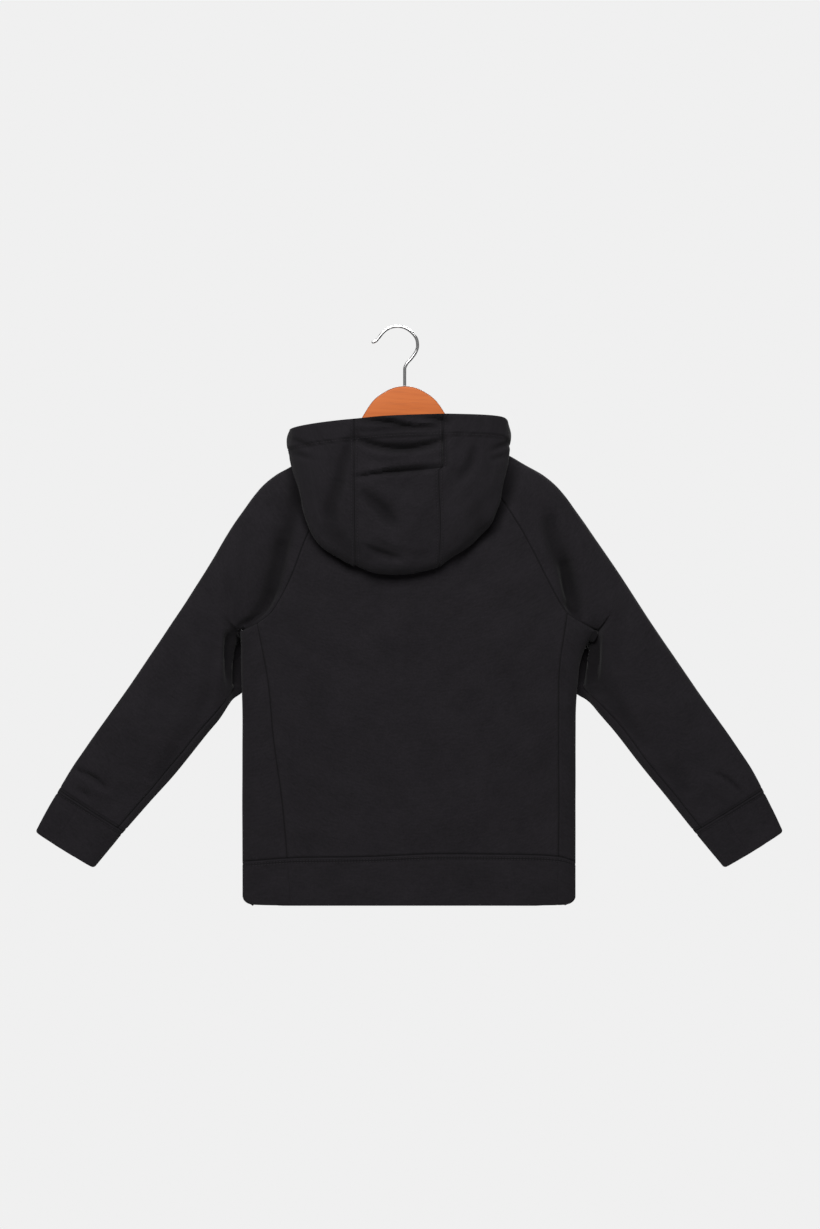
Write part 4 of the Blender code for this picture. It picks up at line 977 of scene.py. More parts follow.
def side_half(side, face, turns, down):
    """Half a side panel in plan, from its seam to the folded edge."""
    edge_drop = np.linspace(UNDERARM_DROP, band_seam_drop(side * side_edge(side, BAND_DROP)), 200)
    edge = np.stack([side * side_edge(side, edge_drop), edge_drop], axis=-1)
    seam = side_seam_to_band(side, face)
    bottom = seam_of_band(seam[-1, 0], edge[-1, 0])
    return fill(raglan_seam(side, face)[1], bottom, seam, edge, np.sin(turns), down)


def side_panel(side, word):
    turns = steps(SIDE_SIZE[0], CELL, ends=(True, False)) * math.pi / 2
    down = steps(SIDE_SIZE[1], LONG_CELL)
    back, front = (on_garment(side_half(side, face, turns, down), face) for face in (BACK, FRONT))
    grid = outside_out(np.concatenate([back, front[:, -2::-1]], axis=1), side)
    return Panel(f"side_{word}", grid, relief=cloth_relief(grid))


for side, word in SIDES:
    cloth_piece(side_panel(side, word))

# %% [markdown]
# A raglan sleeve is one piece of cloth with a seam under the arm. Up to the underarm its rows run
# from the back's seam over the shoulder to the front's seam. From there on its rows are closed
# rings, flattened by hanging. Behind the body the lower edge is tucked towards the front, which
# opens the hollow that the photograph shows dark under each arm, and painted shade darkens it.

# %% Rings of a sleeve
SLEEVE_RINGS = (  # under out, under drop, turn, top out, half depth, tuck
    (214.3, 364, 10.7, 262, 19, 0),
    (208, 371.5, 8, 267, 18.8, 9),
    (201.5, 381, 5.4, 273, 18.5, 20),
    (197, 406, 1, 288, 18, 25),
    (198, 434, -0.5, 305, 17.5, 24),
    (212, 447, 0, 320, 17, 13),
    (238, 475, 0, 347, 16.5, 3),
    (284, 533, 0, 385, 15, 0),
    (315, 571, 0, 406, 13.5, 0),
    (341.6, 604, 0, 424, 12.5, 0),
)
CUFF_RINGS = (
    (341.6, 604, 0, 424, 12.5, 0),
    (348, 612, 0, 431, 11, 0),
    (378, 648.5, 0, 448.5, 10, 0),
)
TUCK_REACH, RING_FOLD_REACH = 40.0, 30.0
HOLLOWS = (  # hollows beside the body, in the form of creases, whose depth also gives them painted shade
    (209, 362, 208, 430, 0, 14, 12),
    (-213, 362, -214, 430, 0, 14, 14),
)
HOLLOW_TOP = 360.0
LEAN_FROM, LEAN_OVER = 206.0, 34.0  # out from the centreline: where the lean starts, how it grows
LEAN = (  # drop, how far in
    (200, 0),
    (250, 2.4),
    (300, 5),
    (400, 5.6),
    (530, 5),
    (575, 1.5),
    (610, -1),
)
SLEEVE_SEAM_IN = 9.0
SEAM_SETTLED = 3 / 16  # by this share of the rings the seam runs beside the lower edge
SLEEVE_END_GROOVE = ("bottom", 3.4, 0.5, 1.0)
RAGLAN_LENGTH, SLEEVE_HALF_ROUND = 240.0, 150.0  # to count the cells
BODY_REACH = 45.0  # the rings take their depth from the body up to here
CUFF_SEAM_ANGLE = {LEFT: 71.0, RIGHT: 101.0}


def ring_place(rows):
    """How far each ring of a table lies from the first."""
    return lengths(np.array(rows, float)[:, [0, 1, 3]])


def ring_at(rows, where):
    return np.array([smooth(where, ring_place(rows), column) for column in np.array(rows, float).T])


def ring_points(side, row, turns, from_raglan=None):
    """Points round a ring at angles from the upper edge. from_raglan blends from the body's depth."""
    under_out, under_drop, turn, top_out, depth, tuck = row
    under = np.array([under_out - side * turn, under_drop])
    top = top_point(top_out)
    width = np.linalg.norm(under - top)
    share = (1 - np.cos(turns)) / 2
    plan = top + share[:, None] * (under - top)
    middle = -tuck * (1 - ease((1 - share) * width / TUCK_REACH))
    half = depth * fold(share * width / RING_FOLD_REACH) * fold((1 - share) * width / RING_FOLD_REACH)
    if from_raglan is not None:
        x, drop = side * plan[:, 0], plan[:, 1]
        underarm = np.array([side_edge(side, np.array(UNDERARM_DROP)), UNDERARM_DROP])
        body = fold(from_top_edge(x, drop) / FOLD_REACH)
        body *= fold(np.linalg.norm(plan - underarm, axis=1) / FOLD_REACH)
        face_troughs = [trough_depth(x, drop, face) for face in (BACK, FRONT)]
        body *= read(DEPTH, drop, 1) - np.where(np.sin(turns) >= 0, *face_troughs)
        half = body + from_raglan * (half - body)
    y = middle + np.sign(np.sin(turns)) * half
    return np.stack([CENTRE_X + side * plan[:, 0], y, -plan[:, 1]], axis=-1)


print("a sleeve is", round(ring_place(SLEEVE_RINGS)[-1]), "mm long below the underarm, down both edges")

# %% The sleeve's rows
CORNER_ROW, UNDERARM_ROW = 8.0, 11.0  # places down the raglan seam: its corner, its end
NECK_CURVE_ROWS = 4.0  # down to here the rows still curve with the neck


def raglan_place(side, face, place):
    """The point on the raglan seam at such a place."""
    upper, lower = raglan_seam(side, face)
    if place <= CORNER_ROW:
        return resample(upper, [place / CORNER_ROW])[0]
    return resample(lower, [(place - CORNER_ROW) / (UNDERARM_ROW - CORNER_ROW)])[0]


def raglan_row(side, place, around):
    """A row over the shoulder. around runs from -1 on the back's seam over 0 to 1 on the front's."""
    reach = math.pi / 2 * (1 + ease((place / UNDERARM_ROW - 0.6) / 0.4))
    share = (1 - np.cos(np.abs(around) * reach)) / (1 - math.cos(reach))
    top_out = SHOULDER_POINT[0] + place / UNDERARM_ROW * (SLEEVE_RINGS[0][3] - SHOULDER_POINT[0])
    top = top_point(top_out) * (side, 1)
    row = []
    for face, half in ((BACK, share[around < 0]), (FRONT, share[around >= 0])):
        end = raglan_place(side, face, place)
        shoulder, corner = neck_plan(side, np.array([90.0, RAGLAN_NECK[face]]))
        neck = neck_plan(side, 90.0 + half * (RAGLAN_NECK[face] - 90.0))
        bow = neck - shoulder - half[:, None] * (corner - shoulder)
        plan = top + half[:, None] * (end - top) + max(1 - place / NECK_CURVE_ROWS, 0.0) * bow
        row.append(on_garment(plan, face))
    return np.concatenate(row)


def lean(grid, side):
    """Moves the left sleeve in, as its upper edge hangs a little more hollow than the right one's."""
    if side == RIGHT:
        return grid
    x, drop = grid[..., 0] - CENTRE_X, -grid[..., 2]
    moved = grid.copy()
    moved[..., 0] -= ease((x - LEAN_FROM) / LEAN_OVER) * read(LEAN, drop, 1)
    return moved


def sleeve_panel(side, word):
    half = steps(SLEEVE_HALF_ROUND, CELL, ends=(True, False))
    around = np.concatenate([half[:-1] - 1, 1 - half[::-1]])
    places = np.concatenate([
        steps(RAGLAN_LENGTH, CELL, ends=(True, False)) * CORNER_ROW,
        np.linspace(CORNER_ROW, UNDERARM_ROW, 9)[1:],
    ])
    rows = [raglan_row(side, place, around) for place in places]
    whole = ring_place(SLEEVE_RINGS)[-1]
    for where in steps(whole, LONG_CELL, ends=(False, True))[1:] * whole:
        ring = ring_at(SLEEVE_RINGS, where)
        width = np.linalg.norm(ring[:2] - top_point(ring[3]))
        seam_angle = math.acos(1 - 2 * (1 - SLEEVE_SEAM_IN / width))
        behind = (math.pi - seam_angle) * ease(where / whole / SEAM_SETTLED)
        turns = math.pi - behind - (around + 1) * math.pi
        rows.append(ring_points(side, ring, turns, from_raglan=ease(where / BODY_REACH)))
    grid = outside_out(np.array(rows), side)
    x, drop = grid[..., 0] - CENTRE_X, -grid[..., 2]
    # The hollows sink the cloth, and through the panel's relief their depth also paints shade into its
    # colour.
    hollow = crease_relief(x, drop, HOLLOWS)
    hollow *= ease((drop - HOLLOW_TOP) / 12.0) * ease(grid[..., 1] / 12.0 + 1.6)
    relief = cloth_relief(grid) + hollow
    return Panel(f"sleeve_{word}", lean(grid, side), relief=relief, grooves=[SLEEVE_END_GROOVE])


for side, word in SIDES:
    cloth_piece(sleeve_panel(side, word))

# %% [markdown]
# Cuffs and hem band are not ribbed here. They are the sleeve's own cloth, folded double, so they
# are a little thicker and their free edge is a rounded fold. A row of stitches holds the turnings
# down under the cuff's seam, and a coverstitch, which is two close rows, under the band's.

# %% Cuffs
CORNER_RADIUS, CUFF_WIDTH = 4.0, 81.0
CUFF_ROUND, CUFF_CELL = 170.0, CELL * 0.8
CUFF_STITCH_IN = 4.4
CUFF_GROOVES = (("top", CUFF_STITCH_IN, 0.9, 0.9), ("top", 2.6, -0.5, 1.0))


def cuff_panel(side, word):
    start = math.radians(CUFF_SEAM_ANGLE[side])
    turns = start - steps(CUFF_ROUND, CUFF_CELL) * 2 * math.pi
    whole = ring_place(CUFF_RINGS)[-1]
    where = steps(whole, LONG_CELL) * whole
    grid = np.array([ring_points(side, ring_at(CUFF_RINGS, place), turns) for place in where])
    # The flattened cuff's corners are rounded off in plan.
    t = np.clip((where - whole) / CORNER_RADIUS + 1, 0, 1)
    middle = (grid.max(axis=1) + grid.min(axis=1)) / 2
    shrink = 1 - 2 * CORNER_RADIUS * (1 - np.sqrt(1 - t**2)) / CUFF_WIDTH
    flat = grid[..., ::2] - middle[:, None, ::2]
    grid[..., ::2] = middle[:, None, ::2] + flat * shrink[:, None, None]
    grid = lean(outside_out(grid, side), side)
    sewn, faint = ("top", "left", "right"), ("left", "right")
    return Panel(f"cuff_{word}", grid, DOUBLE_WALL, sewn, cloth_relief(grid), CUFF_GROOVES, faint)


for side, word in SIDES:
    panel = cuff_panel(side, word)
    cloth_piece(panel, [stitching(f"cuff_stitches_{word}", [panel.line("top", CUFF_STITCH_IN)])])

# %% Hem band
COVERSTITCH = (3.6, 6.0)  # how far under the band's seam its two rows run
BAND_SIZE, BAND_CELL = (330.0, 58.0), 2.6


def band_x(side, face, drop):
    return side_seam(side, face, np.array([drop]))[0, 0]


def band_flat(ends_top, ends_hem, across, down):
    """A flat piece of the band in plan, from the x of its ends at the seam and at the hem."""
    top, hem = (ends[0] + across * (ends[1] - ends[0]) for ends in (ends_top, ends_hem))
    x = top + down[:, None] * (hem - top)
    drop = band_seam_drop(top) + down[:, None] * (HEM_DROP - band_seam_drop(top))
    return np.stack([x, drop], axis=-1)


def band_around(side, face, share, down):
    """Half a band's side piece in plan, from the folded edge (share 0) to its seam (share 1)."""
    rows = []
    for part in down:
        level = BAND_DROP + part * (HEM_DROP - BAND_DROP)
        seam, edge = band_x(side, face, level), side * side_edge(side, level)
        x = edge + (seam - edge) * share
        start = band_seam_drop(seam + (side * side_edge(side, BAND_DROP) - seam) * (1 - share))
        rows.append(np.stack([x, start + part * (HEM_DROP - start)], axis=-1))
    return np.array(rows)


def band_panel(name, grid, sewn=("top", "left", "right"), extra=()):
    grooves = [("top", inset, 0.5, 0.7) for inset in COVERSTITCH] + list(extra)
    return Panel(name, grid, DOUBLE_WALL, sewn, cloth_relief(grid), grooves, faint=("left", "right"))


def finish_band(panel, extra=()):
    rows = [panel.line("top", inset) for inset in COVERSTITCH] + list(extra)
    cloth_piece(panel, [stitching(f"{panel.name}_stitches", rows)])


down = steps(BAND_SIZE[1], BAND_CELL)
ends = [[band_x(side, BACK, drop) for side in (LEFT, RIGHT)] for drop in (BAND_DROP, HEM_DROP)]
grid = on_garment(band_flat(*ends, steps(BAND_SIZE[0], CELL), down), BACK)
finish_band(band_panel("band_back", grid))
for side, word in SIDES:
    ends = [(band_x(side, FRONT, drop), side * ZIP_HALF_OPEN) for drop in (BAND_DROP, HEM_DROP)]
    grid = on_garment(band_flat(*ends, steps(FRONT_SIZE[0], CELL), down), FRONT)
    sewn = ("top", ZIP_EDGE[-side])
    panel = band_panel(f"band_front_{word}", outside_out(grid, side), sewn, [zip_groove(side)])
    finish_band(panel, [panel.line(ZIP_EDGE[side], ZIP_STITCH_IN)])
    share = 1 - np.sin(steps(SIDE_SIZE[0], CELL, ends=(True, False)) * math.pi / 2)
    back, front = (on_garment(band_around(side, face, share, down), face) for face in (BACK, FRONT))
    grid = np.concatenate([back, front[:, -2::-1]], axis=1)
    finish_band(band_panel(f"band_side_{word}", outside_out(grid, side)))

# %% [markdown]
# The hood has two side panels and a strip between them. It rises a little from the neck seam,
# rolls over, hangs down the back and turns up again at a soft fold, so it lies double with its face
# opening uppermost. Each row below is one such path, from the neck to the rim. The thirteen behind
# the shoulders follow the photograph, those round the hidden front are guessed, and the paths
# between them are read smoothly from the same table.

# %% Places over the shoulder's fold
HOOD_STATIONS = (  # degrees round the neck, fold x, fold drop, rim x, rim y, rim drop
    (179, -5, 199, -6, -27, 187),
    (150, 40, 203, 30, -37, 170),
    (120, 92, 196, 86, -34, 146),
    (100, 118, 182, 119, -14, 128),
    (90, 122.5, 165.4, 129.5, 6, 122.6),
    (77, 119, 190, 127, 26, 121.5),
    (66, 113, 224, 114, 38, 119),
    (54, 97, 259, 93, 45, 116),
    (43, 74, 276.5, 71, 48, 113.5),
    (33, 52.5, 287, 52, 50, 111.7),
    (16, 26, 296, 25, 52, 109),
    (0, -4, 297, -1, 53, 107.5),
    (-16, -27, 293.5, -28, 52, 106.5),
    (-33, -48.5, 287.5, -54, 50, 105.8),
    (-43, -73.5, 273, -75, 48, 106),
    (-54, -100, 252.5, -97, 45, 106.5),
    (-66, -121, 219, -117, 38, 107.5),
    (-77, -126.5, 184, -130, 26, 110),
    (-90, -127.5, 152.6, -132, 6, 117),
    (-100, -124, 170, -125, -14, 124),
    (-120, -108, 192, -98, -34, 143),
    (-150, -62, 203, -54, -37, 169),
    (-179, -22.6, 199, -21.6, -27, 187),
)
STRIP = (9.0, 13.0)  # rows of the strip's two seams
HOOD_ROLL = 1.7  # radius of the roll over the neck seam
HOOD_LIFT = 3.4  # how far the hood's ends lie on the fronts
HOOD_TURN_DEGREES = 12.0  # so close to the shoulder the lower fold turns over it
# Sizes at the back and at the front, with where the change starts and how long it takes, in degrees.
HOOD_STAND = (6.0, 2.0, 60, 35)  # how high the collar part stands
HOOD_CLEAR = (1.7, 2.6, 50, 30)  # how far off the garment the inner layer lies
HOOD_FOLD = (8.0, 4.0, 75, 90)  # radius of the lower fold
HOOD_FULLNESS = (26.0, 2.0, 45, 45)  # how far the outer layer swells
WHOLE_TOP = np.concatenate([TOP_LINE[:0:-1] * (-1, 1), TOP_LINE])
WHOLE_TOP_WAY = unit(np.gradient(WHOLE_TOP, axis=0))
WHOLE_TOP_IN = np.stack([-WHOLE_TOP_WAY[:, 1], WHOLE_TOP_WAY[:, 0]], axis=1)


def round_the_top(plan, face):
    """A place on the cloth as (how far along the upper edge, angle round its fold from the edge)."""
    gaps = np.linalg.norm(WHOLE_TOP - plan, axis=1)
    along = int(gaps.argmin())
    share = gaps[along] / FOLD_REACH
    return np.array([along, face * (math.acos(1 - share) if share < 1 else math.pi / 2 + share - 1)])


def over_the_top(along, angle, lift):
    """The 3D point for such a place, lifted off the cloth, and the cloth's normal there."""
    index = np.arange(len(WHOLE_TOP))
    edge = np.array([np.interp(along, index, column) for column in WHOLE_TOP.T])
    inward = np.array([np.interp(along, index, column) for column in WHOLE_TOP_IN.T])
    turn = min(abs(angle), math.pi / 2)
    plan = edge + FOLD_REACH * (1 - math.cos(turn) + abs(angle) - turn) * inward
    side_turn = math.copysign(math.sin(turn), angle)
    normal = np.array([-math.cos(turn) * inward[0], side_turn, math.cos(turn) * inward[1]])
    point = np.array([CENTRE_X + plan[0], read(DEPTH, plan[1], 1) * side_turn, -plan[1]])
    return point + lift * normal, normal


def bezier(points, t):
    a, b, c, d = points
    t = np.asarray(t)[:, None]
    return (1 - t) ** 3 * a + 3 * t * (1 - t) ** 2 * b + 3 * t**2 * (1 - t) * c + t**3 * d


def at_angle(degrees, row):
    """A size of the hood so many degrees round the neck."""
    at_back, at_front, start, over = row
    return at_back + ease((degrees - start) / over) * (at_front - at_back)


print("the hood's table has", len(HOOD_STATIONS), "paths")

# %% One path of the hood's cloth
def rise_and_outward(side, round_neck, cloth_normal):
    """The ways in which the hood leaves the neck seam and then rolls outwards."""
    round_way = np.array([side * math.sin(round_neck), math.cos(round_neck), 0.0])
    into_x = -side * math.sin(round_neck) / SHOULDER_POINT[0]
    into_z = abs(math.cos(round_neck)) / (NECK_FRONT_DROP - SHOULDER_POINT[1])
    into_hole = np.array([into_x, 0.0, into_z])
    into_hole -= cloth_normal * (into_hole @ cloth_normal)
    share = ease((math.degrees(round_neck) - 75.0) / 30.0)
    up = (1 - share) * np.array([0.0, 0.0, 1.0]) + share * unit(into_hole)
    return unit(up), unit((1 - share) * round_way + share * cloth_normal)


def hood_path(degrees, fold_x, fold_drop, rim_x, rim_y, rim_drop):
    """Points from the neck seam over the roll, down, round the fold and up to the rim."""
    away = abs(degrees)
    side = LEFT if degrees >= 0 else RIGHT
    face = BACK if away <= 90 else FRONT
    seam = neck_plan(side, away)
    neck = on_garment(seam, face)
    start = round_the_top(seam, face)
    up, out = rise_and_outward(side, math.radians(away), over_the_top(*start, 0.0)[1])
    stand = at_angle(away, HOOD_STAND)
    points = [neck, neck + up * stand]
    for angle in (math.pi / 3, 2 * math.pi / 3, math.pi):
        rise = stand + HOOD_ROLL * math.sin(angle)
        points.append(neck + up * rise + out * HOOD_ROLL * (1 - math.cos(angle)))
    radius = at_angle(away, HOOD_FOLD)
    way = np.array([fold_x - CENTRE_X, fold_drop]) - seam
    end = round_the_top(seam + way - radius * unit(way), face)
    end[1] *= min(abs(away - 90.0) / HOOD_TURN_DEGREES, 1.0)
    for share in (0.22, 0.48, 0.74, 1.0):
        point, normal = over_the_top(*(start + share * (end - start)), at_angle(away, HOOD_CLEAR))
        points.append(point)
    down = points[-1] - points[-2]
    down = unit(down - normal * (down @ normal))
    base = points[-1]
    for angle in (math.pi / 4, math.pi / 2):
        points.append(base + radius * (math.sin(angle) * down + (1 - math.cos(angle)) * normal))
    rim = np.array([rim_x, rim_y, -rim_drop])
    swell = at_angle(away, HOOD_FULLNESS)
    rise = np.linalg.norm(rim - points[-1])
    controls = (points[-1], points[-1] + swell * normal, rim - up * 0.45 * rise, rim)
    points = np.array([*points, *bezier(controls, np.linspace(0, 1, 8)[1:])])
    span, along = rim - neck, lengths(points)
    controls = (neck, neck + up * 0.4 * np.linalg.norm(span) + 4 * out, rim - 0.3 * span + 5 * out, rim)
    points += ease((away - 92) / 60) * (bezier(controls, along / along[-1]) - points)
    if face == FRONT:
        x, drop = points[:, 0] - CENTRE_X, -points[:, 2]
        over = half_depth(x, drop, FRONT) + HOOD_LIFT * ease((np.arange(len(points)) - 4.0) / 2.0)
        beside_cloth = drop > np.interp(np.abs(x), *TOP_LINE.T)
        points[beside_cloth, 1] = np.minimum(points[:, 1], -over)[beside_cloth]
    return points


# %% [markdown]
# The paths make one sheet, which is smoothed a little. Its creases lie in the outer layer only. The
# photographed strip has a tuck across it, which draws its right seam aside.

# %% The hood as one sheet
HOOD_PARTS = (3, 2, 2, 2, 5, 6, 6, 6, 6, 8, 15, 14, 14, 14, 14, 14, 14)  # cells between a path's points
OUTER_FROM = 9  # the path's point where the outer layer starts
HEM_IN, HOOD_SEAM_IN = 24.0, 3.4  # stitches from the rim and from a seam
HOOD_HALF_WIDTH, STRIP_WIDTH, STRIP_CELL = 220.0, 110.0, 2.2
HOOD_GROOVES = (  # edge, distance from it, depth, width
    ("bottom", HEM_IN, 0.9, 0.8),
    ("bottom", HEM_IN - 2.2, -0.5, 0.9),
    ("bottom", HEM_IN + 2.6, 0.5, 0.9),
    ("left", HOOD_SEAM_IN, 0.3, 0.7),
    ("right", HOOD_SEAM_IN, 0.3, 0.7),
)
JOG, JOG_X, JOG_DROP, JOG_REACH = 4.5, -42.0, 169.0, 18.0
HOOD_CREASES = (  # x 0, drop 0, x 1, drop 1, bend, depth, half width
    (63, 136, -40, 137, -11, 9, 5),
    (-40, 128, -43, 172, 0, 5.5, 2.6),
    (60, 148, -40, 149, -9, -2.5, 6),
    (64, 181.5, -38, 170.5, 2, 6, 3.2),
    (60, 175, -38, 163, 2, -3.2, 4.5),
    (58, 198, 17, 238, 2, 8, 9),
    (40, 196, -20, 226, 4, -2, 9),
    (52, 264, 10, 278, -2, 4.4, 4.5),
    (40, 250, -22, 268, -4, -1.9, 6),
    (66, 134, 84, 190, -3, 5.8, 7),
    (83, 184, 95, 234, -2, 5.5, 9),
    (96, 150, 106, 220, -4, -2, 12),
    (-78, 144, -60, 186, 3, 5.1, 6.5),
    (-52, 150, -46, 176, 0, -2.3, 6),
    (-90, 190, -78, 250, -4, 2.5, 14),
    (140, 136, 116, 146, 0, 3.3, 4),
    (140, 152, 118, 159, 0, 2.8, 4),
    (-122, 139, -98, 149, 0, 3.1, 4),
    (-118, 154, -98, 160, 0, 2.3, 4),
    (66, 112, 4, 119, 2, 15, 4.6),
    (30, 106, -44, 113, 2, 14, 5),
    (20, 123, -40, 121, 1, 6, 3.4),
    (104, 244, 62, 280, 5, 2.4, 11),
    (66, 278, -56, 282, 12, 2.6, 12),
    (-52, 280, -104, 240, 5, 2.4, 11),
    (36, 108, 6, 119, 2, -2.5, 5),
    (60, 127, -40, 126, 1, 3.5, 3.5),
    (-24, 104, -44, 118, 1, 4.5, 5),
    (118, 200, 86, 262, 6, 2.3, 12),
    (-112, 190, -84, 256, -6, 2.3, 12),
)


def jog(x, drop):
    """The tuck across the strip draws the right seam aside below it."""
    below = ease((drop - JOG_DROP) / 4.0) * (1 - ease((drop - JOG_DROP - 8.0) / 70.0))
    return JOG * below * np.exp(-(((x - JOG_X) / JOG_REACH) ** 2))


def hood_grid(stations):
    """The hood's points at these rows of the table, and how far each belongs to the outer layer."""
    table = np.array(HOOD_STATIONS)
    parts = [np.arange(count) / count + i for i, count in enumerate(HOOD_PARTS)]
    parts = np.concatenate([*parts, [len(HOOD_PARTS)]])
    columns = []
    for row in np.stack([smooth(stations, np.arange(len(table)), column) for column in table.T], axis=1):
        path = hood_path(*row)
        along = lengths(path)
        where = np.interp(parts, np.arange(len(path)), along)
        columns.append(np.stack([smooth(where, along, column) for column in path.T], axis=-1))
    grid = np.array(columns).transpose(1, 0, 2)[:, ::-1]
    for _ in range(6):
        grid[1:-1] += 0.25 * (grid[2:] + grid[:-2] - 2 * grid[1:-1])
        grid[:, 1:-1] += 0.25 * (grid[:, 2:] + grid[:, :-2] - 2 * grid[:, 1:-1])
    return grid, ease((parts - OUTER_FROM) / 2.0)[:, None]


columns = steps(HOOD_HALF_WIDTH, CELL)
left = STRIP[0] * columns
centre = STRIP[0] + steps(STRIP_WIDTH, STRIP_CELL) * (STRIP[1] - STRIP[0])
right = STRIP[1] + columns * (len(HOOD_STATIONS) - 1 - STRIP[1])
grid, outer = hood_grid(np.concatenate([left, centre[1:], right[1:]]))
x, drop = grid[..., 0] - CENTRE_X, -grid[..., 2]
on_back = ease(grid[..., 1] / 16.0)
grid[..., 0] += outer * on_back * jog(x, drop)
swell = 1.4 - 1.1 * ease((np.abs(x) - 85.0) / 25.0)
creases = on_back * crease_relief(x, drop, HOOD_CREASES)
relief = outer * (creases + swell * unevenness(1.7 * x, 1.7 * drop + 60.0))
normals = grid_normals(grid)
print("the hood is one sheet of", grid.shape[0], "by", grid.shape[1], "points")

# %% [markdown]
# The sheet is cut at the strip's two seams. All three panels keep the sheet's normals, so a crease
# runs on across a seam.

# %% The hood's three panels
first, second = len(right) - 1, len(right) + len(centre) - 2
for name, start, end, sewn in (
    ("hood_right", 0, first, ("top", "right")),
    ("hood_centre", first, second, ("top", "left", "right")),
    ("hood_left", second, grid.shape[1] - 1, ("top", "left")),
):
    cut = np.s_[:, start : end + 1]
    panel = Panel(
        name, grid[cut], sewn=sewn, relief=relief[cut], grooves=HOOD_GROOVES, normals=normals[cut]
    )
    stitched = (("bottom", HEM_IN), ("left", HOOD_SEAM_IN), ("right", HOOD_SEAM_IN))
    rows = [panel.line(edge, inset) for edge, inset in stitched]
    cloth_piece(panel, [stitching(f"{name}_stitches", rows)])

# %% [markdown]
# The zip doesn't show in the photograph, so it is a plain moulded one, closed to the neck. Its teeth
# are one mesh of small chamfered blocks that pass each other like fingers. The tapes are woven, and
# only their inner edges show between the fronts.

# %% Tapes and teeth
TEETH_TOP, TEETH_PITCH = 213.0, 2.6
TEETH_BEHIND, TEETH_THICKNESS = 0.6, 2.4  # under the fronts' outside, and through
TOOTH = (  # x, z: the root lies in the tape, the head is rounded
    (3.1, -0.55),
    (0.6, -0.95),
    (-0.5, -0.95),
    (-1.5, -0.45),
    (-1.5, 0.45),
    (-0.5, 0.95),
    (0.6, 0.95),
    (3.1, 0.55),
)
TAPE_X = np.array([3.0, 4.0, 7.0, 11.2, 12.0])
TAPE_WALL = 1.0
DARK_METAL = Finish("zip_metal", {"Metallic": 1.0})
wear = DARK_METAL.speckle(260.0, 4.0)
DARK_METAL.feed("Base Color", DARK_METAL.mix(wear, grey(0.045), grey(0.11)))
DARK_METAL.feed("Roughness", wear * 0.25 + 0.28)


def zip_front(drop):
    """y of the cloth's outside beside the zip."""
    return -half_depth(np.full_like(drop, ZIP_HALF_OPEN), drop, FRONT)


def tape_piece(side, word):
    drop = np.linspace(NECK_FRONT_DROP + 0.5, HEM_DROP - 0.5, 90)
    behind = WALL + (DOUBLE_WALL - WALL) * ease((drop - 590.0) / 30.0) + 0.3
    y = zip_front(drop) + behind
    grid = np.stack(np.broadcast_arrays(CENTRE_X + side * TAPE_X, y[:, None], -drop[:, None]), axis=-1)
    panel = Panel(f"zip_tape_{word}", outside_out(grid, -side), TAPE_WALL, sewn=())
    piece = shell_mesh(f"zip_tape_{word}_woven", panel, TAPE)
    stand_for(piece, f"zip_tape_{word}")


def prism(outline, low, high, chamfer):
    """Vertices and faces of a chamfered plate. The outline is (x, z), and y runs from low to high."""
    outline = np.array(outline, float)
    middle = outline.mean(axis=0)
    spokes = outline - middle
    small = middle + spokes * (1 - chamfer / np.linalg.norm(spokes, axis=1, keepdims=True))
    rings = ((small, low), (outline, low + chamfer), (outline, high - chamfer), (small, high))
    points = np.array([[(x, y, z) for x, z in ring] for ring, y in rings])
    count = len(outline)
    index = np.arange(4 * count).reshape(4, count)
    after = np.roll(index, -1, axis=1)
    walls = np.stack([index[:-1], index[1:], after[1:], after[:-1]], axis=-1).reshape(-1, 4)
    return points.reshape(-1, 3), [*walls.tolist(), index[0].tolist(), index[-1][::-1].tolist()]


def teeth_piece():
    points, faces = prism([(z, x) for x, z in TOOTH], 0.0, TEETH_THICKNESS, 0.3)
    points = points[:, [2, 1, 0]]
    drops = np.arange(TEETH_TOP, HEM_DROP - 1.2, TEETH_PITCH / 2)
    vertices, all_faces = [], []
    for number, drop in enumerate(drops):
        side = LEFT if number % 2 else RIGHT
        shift = np.array([CENTRE_X, float(zip_front(np.array(drop))) + TEETH_BEHIND, -drop])
        all_faces += [[corner + len(points) * number for corner in face] for face in faces]
        vertices.append(points * (side, 1, 1) + shift)
    points = np.concatenate(vertices)
    piece = mesh_object("zip_teeth_moulded", points, all_faces, DARK_METAL.material, smooth_degrees=30.0)
    stand_for(piece, "zip_teeth")
    print(len(drops), "teeth")


for side, word in SIDES:
    tape_piece(side, word)
teeth_piece()

# %% [markdown]
# The slider is two plates, one before the teeth and one behind them, joined at the top. Its shield
# outline narrows downwards, and two lugs on its front carry a pin. The pull tab is a flat bar with a
# slot at its end. A stem joins it to an eye round the pin, and it turns about the pin.

# %% Slider and pull tab
PIN_RADIUS, PIN_HALF_LENGTH = 0.8, 2.9
EYE_RADIUS, EYE_HOLE, EYE_HALF_THICKNESS = 2.0, 1.15, 1.5
TAB_TOP, TAB_LENGTH, TAB_HALF_WIDTH, TAB_HALF_THICKNESS = 6.5, 24.0, 3.0, 0.65
SLOT_HALF_WIDTH, SLOT_TOP, SLOT_FROM_END = 1.5, 16.5, 2.0
STEM_HALF_WIDTH, STEM_TOP, STEM_END = 1.4, 1.5, 8.2
EDGE = 0.25  # how far the tab's edges are softened
PIN_FORWARD = 2.6  # from the front plate's outside to the pin's middle
LUG_X, LUG_INWARD = 2.5, 1.0  # from the pin's middle: to the side, and towards the plate
LUG_HALF_HEIGHT, LUG_LOW, LUG_HALF_THICKNESS, LUG_STRETCH = 1.5, -1.6, 0.5, 1.4
